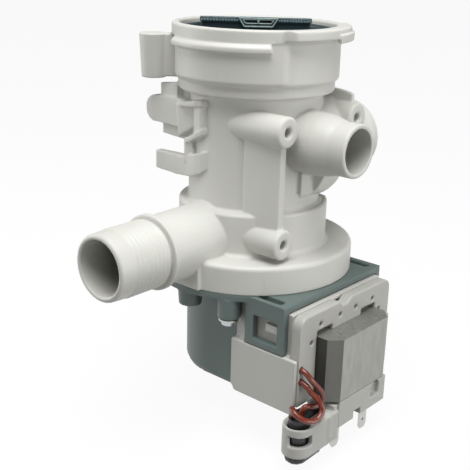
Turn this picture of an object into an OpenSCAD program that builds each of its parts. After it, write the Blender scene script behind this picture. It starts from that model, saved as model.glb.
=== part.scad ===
// Washer drain pump with an upright filter chamber.
// The origin is the centre of the filter mouth, in the plane of its rim. +Z runs up out of the
// mouth along the pump axis, +X points along the motor to its yoke and the screw bosses, and
// the ribbed outlet points along -Y. All sizes are millimetres.

/* [Filter mouth] */
// Outer radius of the rim band
rim_r = 41.2; // [39:0.2:44]
// Height of the rim band
rim_h = 5.6; // [4:0.2:7]
// Outer radius of the mouth below its rim band
mouth_r = 39.8; // [39:0.2:40.8]
// Height of the mouth from rim to shoulder
mouth_h = 25.4; // [22:0.2:30]
// Bore radius of the mouth
mouth_bore_r = 37.4; // [36:0.1:38]
// Outer radius of the step below the mouth
step_r = 38; // [35.5:0.2:38.6]
// Height of the step below the mouth
step_h = 5.6; // [4:0.2:8]

/* [Casing body] */
// Height from the filter rim down to the motor joint
casing_h = 120; // [112:1:130]
// Outer radius of the chamber
body_r = 32.6; // [31.5:0.1:34]
// Bore radius of the chamber
chamber_bore_r = 29.8; // [28:0.1:30.4]
// Outer radius of the volute collar
collar_r = 37.4; // [36.4:0.1:39]
// Height of the volute collar above the flange
collar_h = 21; // [20:0.5:24]
// Bore radius of the volute
volute_bore_r = 34; // [32:0.1:34.6]
// Radius of the motor flange
flange_r = 51; // [50:0.5:54]
// Height of the motor flange
flange_h = 14; // [11:0.5:16]
// Thickness of the wall between chamber and volute
divider_t = 3; // [2:0.2:4]
// Radius of the suction eye in that wall
eye_r = 13; // [10:0.5:16]

/* [Outlets] */
// Outer radius of the ribbed outlet at its tip
outlet_r = 15.6; // [14:0.1:16.5]
// Wall of the ribbed outlet
outlet_wall = 2.6; // [1.8:0.1:3.4]
// Reach of the ribbed outlet from the pump axis
outlet_reach = 99; // [90:1:110]
// Offset of the ribbed outlet from the pump axis
outlet_x = -3; // [-6:0.5:3]
// Height of the ribbed outlet's axis above the motor joint
outlet_rise = 20; // [18.5:0.5:23]
// Length of the barbed stretch
barb_l = 29; // [24:1:34]
// Outer radius of the side spigot at its tip
spigot_r = 12.6; // [11:0.1:14]
// Wall of the side spigot
spigot_wall = 2.1; // [1.6:0.1:3]
// Reach of the side spigot from the pump axis
spigot_reach = 61.7; // [55:0.5:70]
// Depth of the side spigot's axis below the rim
spigot_depth = 52.6; // [51:0.5:56]
// Outer radius of the sump inlet
inlet_r = 19.5; // [17:0.5:20]
// Wall of the sump inlet
inlet_wall = 2.4; // [1.8:0.1:3]
// Reach of the sump inlet from the pump axis
inlet_reach = 58; // [52:0.5:66]
// Offset of the sump inlet from the pump axis
inlet_x = 16; // [13:0.5:16]
// Depth of the sump inlet's axis below the rim
inlet_depth = 60; // [57:0.5:61]

/* [Screw bosses] */
// Distance of the boss faces from the pump axis
boss_x = 40; // [38:0.5:44]
// Offset of the front bosses from the pump axis
boss_front_y = 24; // [23:0.5:25]
// Offset of the rear boss from the pump axis
boss_rear_y = 30; // [28:0.5:32]
// Depth of the upper bosses below the rim
boss_top_depth = 44; // [43:0.5:45]
// Distance between the two front bosses
boss_pitch = 53; // [51:0.5:53.5]
// Outer radius of a boss
boss_r = 7.2; // [6:0.1:7.4]
// Radius of a boss's screw hole
boss_hole_r = 2.15; // [1.6:0.05:2.6]
// Depth of a boss's screw hole
boss_hole_depth = 15; // [10:0.5:16]
// Thickness of the rib between the front bosses
boss_rib_t = 4; // [2:0.1:5]

/* [Mounting lug and clips] */
// Distance of the lug from the pump axis
lug_reach = 50; // [48:0.5:53]
// Outer radius of the lug at its top
lug_r = 6.9; // [6:0.1:7.5]
// Height of the lug
lug_h = 21; // [16:0.5:23]
// Radius of the lug's hole
lug_hole_r = 2.6; // [2:0.1:3.4]
// Reach of the hose clip's upper finger from the pump axis
finger_reach = 46.4; // [44:0.2:50]
// Reach of the hose clip's lower finger from the pump axis
strap_reach = 39.4; // [37:0.2:42]
// Thickness of the clip fingers
finger_t = 2.2; // [1.6:0.1:2.6]

/* [Filter] */
// Radial gap between the filter and the casing
filter_gap = 0.5; // [0.35:0.05:0.8]
// Height of the plug's skirt
plug_h = 21; // [17:0.5:22]
// Length of the grip bar
grip_l = 53.4; // [46:0.2:58]
// Thickness of the grip bar
grip_w = 4.4; // [3.6:0.2:8]
// Height of the grip bar above the rim plane
grip_rise = 2; // [0:0.5:6]
// Depth of the hollow round the grip bar
grip_depth = 11.5; // [7:0.5:13]
// Length of the filter basket below the plug
basket_l = 52; // [40:1:54]
// Wall of the filter basket
basket_wall = 2; // [1.5:0.1:2.6]
// Number of comb teeth round the basket
comb_teeth = 9; // [6:1:12]

/* [Motor] */
// Thickness of the motor carrier's plate
carrier_t = 3.4; // [2.8:0.1:4]
// Reach of the carrier plate along the motor
carrier_x = 53.8; // [52.5:0.1:54.5]
// Half width of the carrier plate over the coil housing
carrier_half_y = 39.5; // [39:0.1:41]
// Outer radius of the motor shroud
shroud_r = 33; // [32:0.1:34]
// Depth of the motor shroud below the joint
shroud_h = 55; // [54:0.5:57]
// Wall of the motor shroud
shroud_wall = 2; // [1.6:0.1:2.4]
// Outer radius of the rotor can
can_r = 14.4; // [13.6:0.1:15]
// Wall of the rotor can
can_wall = 1; // [0.8:0.05:1.2]
// Radial gap between magnet and can
magnet_gap = 0.7; // [0.5:0.05:1]
// Length of the rotor magnet
magnet_l = 28; // [22:0.5:29]
// Radius of the rotor shaft
shaft_r = 2; // [1.5:0.05:2.5]
// Radial clearance of the shaft in its bushes
bush_clear = 0.05; // [0.02:0.01:0.1]
// Height of the lamination stack
stack_h = 32; // [29:0.5:33]
// Depth of the lamination stack below the joint
stack_depth = 16; // [15:0.5:17]
// Width of a stator leg
leg_w = 12; // [10:0.5:13]
// Outer half width of the stator
stator_half_y = 24; // [23:0.5:25]
// Distance of the yoke's outer face from the pump axis
yoke_x = 73; // [71:0.5:76]
// Thickness of the yoke
yoke_t = 11; // [9:0.5:11]

/* [Impeller] */
// Radius of the impeller
impeller_r = 22; // [18:0.5:26]
// Height of the impeller's blades
blade_h = 16; // [11:0.5:19]
// Number of blades
blades = 6; // [4:1:8]
// Thickness of a blade
blade_t = 2; // [1.4:0.1:2.6]
// Free turn of the impeller on its drive dog in degrees
slip_angle = 150; // [90:5:180]

/* [Electrical] */
// Width of a spade terminal
spade_w = 6.3; // [4.8:0.1:6.3]
// Thickness of a spade terminal
spade_t = 0.8; // [0.5:0.1:1]
// Length of a spade terminal below its block
spade_l = 15; // [8:0.5:16]
// Distance between the terminals
spade_pitch = 24; // [20:0.5:25]
// Radius of the thermal protector's body
protector_r = 4.6; // [4:0.1:5]
// Length of the thermal protector
protector_l = 21.5; // [20:0.5:28]
// Radius of a protector lead
lead_r = 1.4; // [0.9:0.05:1.4]

/* [Hidden] */
$fn = 64;

// Colours of the mouldings and metals.
casing_colour = [0.80, 0.80, 0.77];
carrier_colour = [0.36, 0.43, 0.41];
filter_colour = [0.09, 0.15, 0.17];
housing_colour = [0.84, 0.84, 0.81];
steel_colour = [0.55, 0.56, 0.56];
rubber_colour = [0.08, 0.08, 0.09];

// Small overlap that fuses two shapes of one moulding, and the gap between seated pieces.
fuse = 0.4;
seat_gap = 0.1;

// Levels along the pump axis, from the rim down.
z_mouth = -mouth_h;
z_step = z_mouth - step_h;
z_joint = -casing_h;
z_flange = z_joint + flange_h;
z_collar = z_flange + collar_h;
z_divider = z_collar - 2;
z_shroud = z_joint - shroud_h;
z_plate = z_joint - carrier_t;
z_stack = z_joint - stack_depth;
z_stack_low = z_stack - stack_h;

// The direction in which the camera's left lies, where lug and clips show in outline.
lug_angle = 221;

// Boss levels.
z_boss_top = -boss_top_depth;
z_boss_low = z_boss_top - boss_pitch;

// Motor joint: register recess, seal and screws.
register_r = volute_bore_r + 4;
register_depth = 5;
register_gap = 0.2;
seal_tube_r = 0.95;
screw_circle_r = flange_r - 4.5;
screw_angles = [-62, 62, 180];
dowel_angles = [-90, 90];
screw_r = 2;
screw_depth = 10;
post_r = 5.6;
post_h = 10;

// One arc of points for a rounded corner.
function arc(cx, cy, r, a0, a1, n = 6) =
    [for (i = [0:n]) let (a = a0 + (a1 - a0) * i / n) [cx + r * cos(a), cy + r * sin(a)]];

module along_x(y, z) {
    translate([0, y, z]) rotate([0, 90, 0]) children();
}

module along_y(x, z) {
    translate([x, 0, z]) rotate([-90, 0, 0]) children();
}

// A rectangle of half sizes with rounded corners, centred.
module rounded_rect(w, h, r) {
    union() {
        square([w - 2 * r, h], center = true);
        square([w, h - 2 * r], center = true);
        for (sx = [-1, 1]) for (sy = [-1, 1])
            translate([sx * (w / 2 - r), sy * (h / 2 - r)]) circle(r);
    }
}

// Pump casing

// Outer form of the casing as one turned profile.
module casing_turned() {
    rotate_extrude() polygon(concat(
        [[0, 0]],
        arc(rim_r - 1, -1, 1, 90, 0, 4),
        [[rim_r, -rim_h], [mouth_r, -rim_h - 0.8]],
        arc(mouth_r - 1.5, z_mouth + 1.5, 1.5, 0, -80, 4),
        [[step_r, z_mouth - 0.4]],
        arc(step_r - 1.2, z_step + 1.2, 1.2, 0, -80, 4),
        [[body_r + 0.6, z_step - 0.6], [body_r, z_step - 2], [body_r, z_collar + 0.8]],
        [[body_r + 0.8, z_collar], [collar_r - 0.8, z_collar - 0.4]],
        [[collar_r, z_collar - 1.2], [collar_r, z_flange + 1.5], [collar_r + 1.5, z_flange]],
        arc(flange_r - 2, z_flange - 2, 2, 90, 0, 5),
        [[flange_r, z_joint], [0, z_joint]]));
}

// Everything hollow on the pump axis: mouth, chamber, suction eye and volute.
module casing_hollow() {
    rotate_extrude() polygon([
        [0, 1], [mouth_bore_r + 0.6, 1], [mouth_bore_r + 0.6, 0], [mouth_bore_r, -0.8],
        [mouth_bore_r, z_mouth - 1], [chamber_bore_r, z_step - 1.5],
        [chamber_bore_r, z_divider], [0, z_divider]]);
    translate([0, 0, z_divider - divider_t - 1]) cylinder(r = eye_r, h = divider_t + 2);
    translate([0, 0, z_joint - 1]) {
        cylinder(r = volute_bore_r, h = z_divider - divider_t - z_joint + 1);
        cylinder(r = register_r, h = register_depth + 1);
    }
}

// Thick sector and bottom lip of the rim on the motor side.
module rim_sector() {
    sector_r = rim_r + 3.4;
    sector_h = 4.5;
    rotate([0, 0, -34.2]) rotate_extrude(angle = 87)
        polygon(concat([[mouth_bore_r + 1, 0]], arc(sector_r - 1, -1, 1, 90, 0, 4),
            [[sector_r, -sector_h], [mouth_bore_r + 1, -sector_h - 0.9]]));
    rotate([0, 0, 6]) rotate_extrude(angle = 40)
        translate([sector_r - 1, -sector_h - 2]) square([2.2, 3.8]);
}

// Ledge that runs round the front of the mouth and ends in a round corner.
module mouth_ledge() {
    ledge_r = rim_r + 1.8;
    rotate([0, 0, -120.5]) rotate_extrude(angle = 79.5)
        polygon([[mouth_bore_r + 1, -7.3], [ledge_r - 0.4, -7.3], [ledge_r, -7.8],
            [ledge_r, -9.7], [ledge_r - 0.4, -10.1], [mouth_bore_r + 1, -10.1]]);
    rotate([0, 0, -41.6]) translate([ledge_r - 2.3, 0, -9.5]) cylinder(r = 2.2, h = 3.8);
    // Thicker stretch of the wall below the ledge.
    rotate([0, 0, -122]) rotate_extrude(angle = 88.8)
        polygon([[mouth_bore_r + 1, -6], [mouth_r + 0.9, -6], [mouth_r + 0.9, z_mouth + 1.8],
            [mouth_r - 0.6, z_mouth + 0.4], [mouth_bore_r + 1, z_mouth + 0.4]]);
}

// Lug for the front panel, with the web that carries it.
lug_web_t = 7.2;

module mounting_lug() {
    rotate([0, 0, lug_angle]) {
        translate([lug_reach, 0, -6 - lug_h]) cylinder(r1 = lug_r - 1, r2 = lug_r, h = lug_h);
        translate([mouth_r - 2, -lug_web_t / 2, -5.4 - lug_h]) cube([lug_reach - mouth_r, lug_web_t, lug_h - 0.6]);
    }
}

// Screw bosses, the rib between the front pair and the fin over the rear one.
module screw_bosses() {
    for (p = [[-boss_front_y, z_boss_top], [-boss_front_y, z_boss_low], [boss_rear_y, z_boss_top]])
        along_x(p[0], p[1]) {
            cylinder(r = boss_r, h = boss_x - 0.8);
            translate([0, 0, boss_x - 0.8 - 0.01]) cylinder(r1 = boss_r, r2 = boss_r - 0.8, h = 0.81);
        }
    translate([0, 0, z_boss_low]) linear_extrude(boss_pitch) polygon([
        [12, -boss_front_y + 2], [17.2, -boss_front_y - 2], [17.9, -boss_front_y - 4.3],
        [boss_x - 2.6, -boss_front_y + 2 - boss_rib_t], [boss_x - 2.6, -boss_front_y + 2]]);
    along_y(0, 0) translate([0, 0, boss_rear_y - 0.6]) linear_extrude(2.4) polygon([
        [10, -z_step - 0.6], [21, -z_step], [29, -z_step + 0.5], [34, -z_step + 1.2], [boss_x - 3.6, -z_step + 2],
        [boss_x - 3.6, boss_top_depth], [10, boss_top_depth]]);
}

module boss_holes() {
    for (p = [[-boss_front_y, z_boss_top], [-boss_front_y, z_boss_low], [boss_rear_y, z_boss_top]])
        along_x(p[0], p[1]) {
            translate([0, 0, boss_x - boss_hole_depth]) cylinder(r = boss_hole_r, h = boss_hole_depth + 1);
            translate([0, 0, boss_x - 0.9]) cylinder(r1 = boss_hole_r, r2 = boss_hole_r + 1, h = 1);
        }
}

// Ribbed outlet: plain root tube, stop bead, barbs and a plain nose.
outlet_root_r = outlet_r + 0.8;
outlet_depth = casing_h - outlet_rise;
y_bead = outlet_reach - barb_l - 4;
barbs = 7;
nose_l = 11;
barb_pitch = (barb_l - nose_l) / barbs;

module outlet_outer() {
    along_y(outlet_x, -outlet_depth) mirror([0, 0, 1]) rotate_extrude() polygon(concat(
        [[0, 20], [outlet_root_r + 0.6, 20], [outlet_root_r, y_bead]],
        [[outlet_root_r + 1.6, y_bead + 0.5], [outlet_root_r + 1.6, y_bead + 3]],
        [[outlet_r + 0.2, y_bead + 3.4]],
        [for (i = [0:barbs - 1]) each [
            [outlet_r, y_bead + 4 + barb_pitch * i],
            [outlet_r + 0.55, y_bead + 4 + barb_pitch * (i + 0.25)],
            [outlet_r, y_bead + 4 + barb_pitch * (i + 0.95)]]],
        [[outlet_r, outlet_reach - nose_l + 0.4]],
        arc(outlet_r - 1.6, outlet_reach - 1.6, 1.6, 0, 90, 4),
        [[0, outlet_reach]]));
}

module outlet_bore() {
    along_y(outlet_x, -outlet_depth) mirror([0, 0, 1])
        translate([0, 0, 20]) cylinder(r = outlet_r - outlet_wall, h = outlet_reach);
}

// Side spigot: straight root that narrows in a smooth curve to a plain tip.
spigot_root_r = spigot_r + 2.5;
tip_l = 9;

module spigot_outer() {
    along_x(0, -spigot_depth) rotate_extrude() polygon(concat(
        [[0, 20], [spigot_root_r, 20], [spigot_root_r, spigot_reach - tip_l - 14]],
        [[spigot_root_r - 0.4, spigot_reach - tip_l - 9], [spigot_r + 0.9, spigot_reach - tip_l - 3]],
        [[spigot_r, spigot_reach - tip_l]],
        arc(spigot_r - 0.7, spigot_reach - 0.7, 0.7, 0, 90, 3),
        [[0, spigot_reach]]));
}

module spigot_bore() {
    along_x(0, -spigot_depth)
        translate([0, 0, 20]) cylinder(r = spigot_r - spigot_wall, h = spigot_reach);
}

// Sump inlet at the back: a wide drum on the chamber that carries the hose port.
drum_r = inlet_r + 6;
drum_reach = inlet_reach - 20;

module inlet_outer() {
    along_y(inlet_x, -inlet_depth) rotate_extrude() polygon(concat(
        [[0, 5], [drum_r, 5]],
        arc(drum_r - 3, drum_reach - 3, 3, 0, 70, 4),
        [[inlet_r - 0.8, drum_reach + 1.4], [inlet_r - 0.8, inlet_reach - 6]],
        [[inlet_r, inlet_reach - 5]],
        arc(inlet_r - 1.4, inlet_reach - 1.4, 1.4, 0, 90, 4),
        [[0, inlet_reach]]));
}

module inlet_bore() {
    along_y(inlet_x, -inlet_depth)
        translate([0, 0, 12]) cylinder(r = inlet_r - 0.8 - inlet_wall, h = inlet_reach);
}

// Hose clip on the left: an upper finger with a rib, a hook and a lower strap beside the body.
clip_y = -28;
clip_root = 14;
clip_tail = -3;

// A flat piece of the clip, drawn as x and z, its front face at clip_y less the thickness.
module clip_plate(t, front = 0) {
    translate([0, clip_y + 2 - front, 0]) rotate([90, 0, 0]) linear_extrude(t) children();
}

module hose_clip() {
    end_x = -finger_reach + 6.8;
    // Upper finger with a round end, and the tab on top of it.
    clip_plate(finger_t + 2) polygon(concat(
        arc(end_x, -43.1, 6.8, 90, 250, 8),
        [[-21.7, -50.2], [-clip_root, -49.6], [-clip_root, -36.3]]));
    clip_plate(finger_t + 1.2) polygon([[-36.5, -37], [-36.5, -30.1], [-24.9, -28.7], [-24.9, -37]]);
    // Rib under the finger, with the gusset and the block beside the body.
    clip_plate(finger_t + 0.4) polygon([[-36, -49], [-36, -55], [-22.8, -55.9], [-14.8, -55.6], [-12, -49]]);
    clip_plate(finger_t + 2.8) polygon([[-24.1, -39], [-16.2, -36.9], [-12, -36.9], [-12, -48], [-22.8, -54.8]]);
    translate([-8, clip_y + 1.2, -49]) cylinder(r = 4.4, h = 12);
    // Hook above the strap, and the column between them.
    clip_plate(finger_t + 2) polygon([[-14.8, -55.6], [-7.8, -50.7], [clip_tail, -48.2], [clip_tail, -50.6],
        [-6.8, -52.8], [-13.8, -57.8]]);
    clip_plate(6) polygon([[-17.8, -55], [-12, -55], [-10.6, -66], [-17.8, -66]]);
    // Lower strap that runs into the body.
    clip_plate(finger_t + 2) polygon([[-strap_reach, -64], [-22, -63.8], [-13.6, -62.2], [clip_tail, -57.5],
        [clip_tail, -68.4], [-13.5, -71.8], [-24.3, -73.9], [-strap_reach, -73.2]]);
}

module pump_casing() {
    color(casing_colour) difference() {
        union() {
            casing_turned();
            rim_sector();
            mouth_ledge();
            mounting_lug();
            screw_bosses();
            outlet_outer();
            spigot_outer();
            inlet_outer();
            hose_clip();
            // Panel under the spigot and the block under the outlet's root.
            rotate([0, 0, -7.6]) rotate_extrude(angle = 32)
                translate([chamber_bore_r + 1, -79]) square([body_r + 1.2 - chamber_bore_r - 1, 17]);
            translate([-22, -flange_r - 0.6, z_joint]) cube([33.5, 20, outlet_rise - 6]);
        }
        casing_hollow();
        boss_holes();
        outlet_bore();
        spigot_bore();
        inlet_bore();
        rotate([0, 0, lug_angle]) translate([lug_reach, 0, -6 - lug_h - 1])
            cylinder(r = lug_hole_r, h = lug_h - 2);
        // Groove round the top of the collar on the motor side.
        rotate([0, 0, -36]) rotate_extrude(angle = 80) translate([body_r + 2, z_collar - 1]) square([0.9, 2]);
        // Pilot holes for the carrier's screws and sockets for its dowels.
        for (a = screw_angles) rotate([0, 0, a])
            translate([screw_circle_r, 0, z_joint - 1]) cylinder(r = screw_r, h = screw_depth + 1);
        // Moulded slot beside the panel under the spigot.
        rotate([0, 0, -10.2]) translate([body_r - 1, -1.4, -77.6]) cube([4, 2.8, 12.8]);
    }
}

// Filter

plug_r = mouth_bore_r - filter_gap;
z_plug = -3.5;
z_skirt = z_plug - plug_h;
z_grip_floor = z_plug - grip_depth;
z_web = z_grip_floor - 2.4;
seal_groove = 1.6;
seal_gap = 0.2;
filter_seal_r = (seal_groove + filter_gap - 2 * seal_gap) / 2;
grip_angle = lug_angle - 180;
grip_shift = -1.2;
basket_r = chamber_bore_r - filter_gap - 0.4;
snap_r = basket_r - basket_wall - bush_clear;

module filter_plug() {
    color(filter_colour) difference() {
        union() {
            rotate_extrude() polygon([
                [0, z_grip_floor], [plug_r - 3.4, z_grip_floor], [plug_r - 3, z_plug],
                [plug_r - 0.8, z_plug], [plug_r, z_plug - 0.8],
                [plug_r, z_skirt + 6.6], [plug_r - seal_groove, z_skirt + 6.6],
                [plug_r - seal_groove, z_skirt + 3.2], [plug_r, z_skirt + 3.2],
                [plug_r, z_skirt + 0.6], [plug_r - 0.6, z_skirt], [plug_r - 4, z_skirt],
                [plug_r - 4, z_web], [0, z_web]]);
            // Grip bar across the hollow, with a raised frame at its middle.
            rotate([0, 0, grip_angle]) {
                translate([grip_shift, 0, z_grip_floor - fuse]) linear_extrude(grip_rise - z_grip_floor + fuse)
                    rounded_rect(grip_l - 1.6, grip_w - 1.4, 1.2);
                translate([grip_shift, 0, grip_rise - 2]) linear_extrude(2) rounded_rect(grip_l, grip_w, 1.6);
                translate([0, grip_w / 2 + 1.2, grip_rise]) rotate([90, 0, 0])
                    linear_extrude(grip_w + 2.4) grip_frame(0);
            }
            // Ring that the basket snaps round.
            translate([0, 0, z_skirt + 2]) difference() {
                cylinder(r = snap_r, h = z_web - z_skirt - 2 + fuse);
                translate([0, 0, -1]) cylinder(r = snap_r - 2.4, h = z_web - z_skirt - 1);
            }
        }
        // Pockets inside the raised frame, one on each face.
        rotate([0, 0, grip_angle]) for (s = [-1, 1])
            translate([0, s * (grip_w / 2 + 0.4) + 0.8, grip_rise]) rotate([90, 0, 0])
                linear_extrude(1.7) grip_frame(1.1);
    }
}

// Trapezoid of the raised frame, drawn in from its edge by inset.
module grip_frame(inset) {
    polygon([[-9.2 + inset * 1.4, -inset], [9.2 - inset * 1.4, -inset],
        [6.6 - inset * 0.6, -4 + inset], [-6.6 + inset * 0.6, -4 + inset]]);
}

z_basket = z_web - 0.3;
z_basket_low = z_skirt - basket_l;
slot_angle = 360 / (comb_teeth * 2);

module filter_basket() {
    color(filter_colour) difference() {
        translate([0, 0, z_basket_low]) cylinder(r = basket_r, h = z_basket - z_basket_low);
        translate([0, 0, z_basket_low + basket_wall])
            cylinder(r = basket_r - basket_wall, h = z_basket - z_basket_low);
        // Comb slots round the outlet half.
        for (i = [0:comb_teeth - 1]) rotate([0, 0, (i - (comb_teeth - 1) / 2) * slot_angle * 1.6 - 90])
            translate([basket_r - basket_wall - 2, -1.7, z_basket_low - 1])
                cube([basket_wall + 4, 3.4, basket_l * 0.55]);
        // Large window towards the sump inlet.
        translate([-16, 0, z_basket_low + basket_wall + 5]) cube([32, basket_r + 2, basket_l - 18]);
        // Window towards the side spigot.
        translate([0, -9, z_basket_low + basket_wall + 12]) cube([basket_r + 2, 18, basket_l - 24]);
        // Eye in the floor.
        translate([0, 0, z_basket_low - 1]) cylinder(r = 9, h = basket_wall + 2);
    }
}

module filter_seal() {
    color(rubber_colour) translate([0, 0, z_skirt + 4.9]) rotate_extrude()
        translate([plug_r - seal_groove + seal_gap + filter_seal_r, 0]) circle(r = filter_seal_r, $fn = 24);
}

// Rotor

z_magnet = z_stack - (stack_h - magnet_l) / 2;
z_magnet_low = z_magnet - magnet_l;
can_bore_r = can_r - can_wall;
magnet_r = can_bore_r - magnet_gap;
z_can_floor = z_shroud + shroud_wall;
z_impeller = z_joint + 2.4;
hub_r = 8;
dog_r = 6;
dog_h = 7;
dog_clear = 0.25;
z_shaft_top = z_impeller + 13;
rear_bush_h = 4.5;
z_shaft_low = z_can_floor + 0.6;
holder_h = 9;
front_bush_h = 6;
bush_r = 4.2;
z_bush_low = z_joint - 1.7 - front_bush_h;
thrust_t = 0.9;
z_hub = z_joint - holder_h - thrust_t - 0.5;
dog_wing = 5.2;

module rotor_shaft() {
    color(steel_colour) translate([0, 0, z_shaft_low])
        cylinder(r = shaft_r, h = z_shaft_top - z_shaft_low);
}

module rotor_magnet() {
    color([0.16, 0.16, 0.17]) difference() {
        union() {
            translate([0, 0, z_magnet_low]) cylinder(r = magnet_r, h = magnet_l);
            translate([0, 0, z_magnet - fuse]) cylinder(r = 5, h = z_hub - z_magnet + fuse);
        }
        translate([0, 0, z_magnet_low - 1]) cylinder(r = shaft_r, h = z_bush_low - z_magnet_low);
    }
}

module thrust_washer() {
    color(steel_colour) translate([0, 0, z_joint - holder_h - 0.2 - thrust_t]) difference() {
        cylinder(r = bush_r, h = thrust_t);
        translate([0, 0, -1]) cylinder(r = shaft_r + bush_clear, h = 3);
    }
}

// Dog pressed on the shaft, with one wing that strikes a stop inside the impeller hub.
module drive_dog() {
    color([0.85, 0.85, 0.82]) difference() {
        union() {
            translate([0, 0, z_impeller + 1]) cylinder(r = 3.4, h = dog_h);
            translate([0, -1.2, z_impeller + 1]) cube([dog_wing, 2.4, dog_h]);
        }
        translate([0, 0, z_impeller]) cylinder(r = shaft_r, h = dog_h + 2);
    }
}

// Hub, backplate and curved blades. The stop in the hub leaves the dog its free turn.
stop_angle = 360 - slip_angle - 52;

module impeller() {
    color([0.62, 0.63, 0.62]) difference() {
        union() {
            translate([0, 0, z_impeller]) cylinder(r = impeller_r - 1, h = 1.8);
            translate([0, 0, z_impeller]) cylinder(r = hub_r, h = dog_h + 5);
            translate([0, 0, z_impeller + dog_h + 4.9]) cylinder(r1 = hub_r, r2 = 3, h = 4);
            for (i = [0:blades - 1]) rotate([0, 0, i * 360 / blades]) impeller_blade();
        }
        // Chamber of the dog.
        difference() {
            translate([0, 0, z_impeller - 1]) cylinder(r = dog_wing + 0.5, h = dog_h + 2.6);
            // Stop block.
            translate([0, 0, z_impeller - 2]) rotate([0, 0, 26 + slip_angle])
                rotate_extrude(angle = stop_angle) translate([3.4 + dog_clear, 0])
                    square([4, dog_h + 6]);
        }
        // Running bore on the shaft's end.
        translate([0, 0, z_impeller]) cylinder(r = shaft_r + bush_clear, h = z_shaft_top - z_impeller + 0.6);
    }
}

module impeller_blade() {
    bow_r = impeller_r * 0.9;
    translate([0, 0, z_impeller]) linear_extrude(blade_h) intersection() {
        translate([hub_r - 1, -bow_r * 0.86]) difference() {
            circle(bow_r + blade_t / 2);
            circle(bow_r - blade_t / 2);
        }
        difference() {
            translate([hub_r - 2.5, -2]) square([impeller_r, impeller_r]);
            difference() {
                circle(impeller_r * 2);
                circle(impeller_r);
            }
        }
    }
}

module shaft_seal() {
    color(rubber_colour) translate([0, 0, z_joint - 1.6]) difference() {
        cylinder(r = bush_r + 1.6, h = 3.2);
        translate([0, 0, -1]) cylinder(r = shaft_r + bush_clear, h = 6);
    }
}

// Holder that closes the mouth of the rotor can and seats bush and seal.
module front_bush_holder() {
    color([0.30, 0.30, 0.30]) difference() {
        union() {
            translate([0, 0, z_joint - holder_h]) cylinder(r = can_bore_r - seat_gap, h = holder_h);
            translate([0, 0, z_joint]) cylinder(r = can_r + 3.6, h = 1.6);
        }
        translate([0, 0, z_joint - 1.7]) cylinder(r = bush_r + 1.7, h = 5);
        translate([0, 0, z_bush_low - 0.1]) cylinder(r = bush_r + seat_gap, h = 10);
        translate([0, 0, z_joint - 12]) cylinder(r = shaft_r + 1, h = 12);
    }
}

module front_bush() {
    color([0.25, 0.22, 0.20]) translate([0, 0, z_bush_low]) difference() {
        cylinder(r = bush_r, h = front_bush_h);
        translate([0, 0, -1]) cylinder(r = shaft_r + bush_clear, h = front_bush_h + 2);
    }
}

module rear_bush_cushion() {
    color(rubber_colour) translate([0, 0, z_can_floor + seat_gap]) difference() {
        cylinder(r = 7.6, h = rear_bush_h + 1);
        translate([0, 0, 1.2]) cylinder(r = bush_r + seat_gap, h = rear_bush_h + 2);
        translate([0, 0, -1]) cylinder(r = shaft_r + 0.6, h = 4);
    }
}

module rear_bush() {
    color([0.25, 0.22, 0.20]) translate([0, 0, z_can_floor + seat_gap + 1.3]) difference() {
        cylinder(r = bush_r, h = rear_bush_h - 0.6);
        translate([0, 0, -1]) cylinder(r = shaft_r + bush_clear, h = rear_bush_h + 2);
    }
}

// Motor carrier

leg_x0 = 30.5;
leg_t = 3.7;
leg_h = 20.4;
shroud_end_x = 22;
window_x0 = 35.6;
window_x1 = 49.8;
window_top = 8.4;
window_h = 12;

module shroud_plan(r) {
    difference() {
        union() {
            circle(r);
            translate([0, -r]) square([shroud_end_x, 2 * r]);
        }
        translate([shroud_end_x, -r]) square([r, 2 * r]);
    }
}

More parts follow.
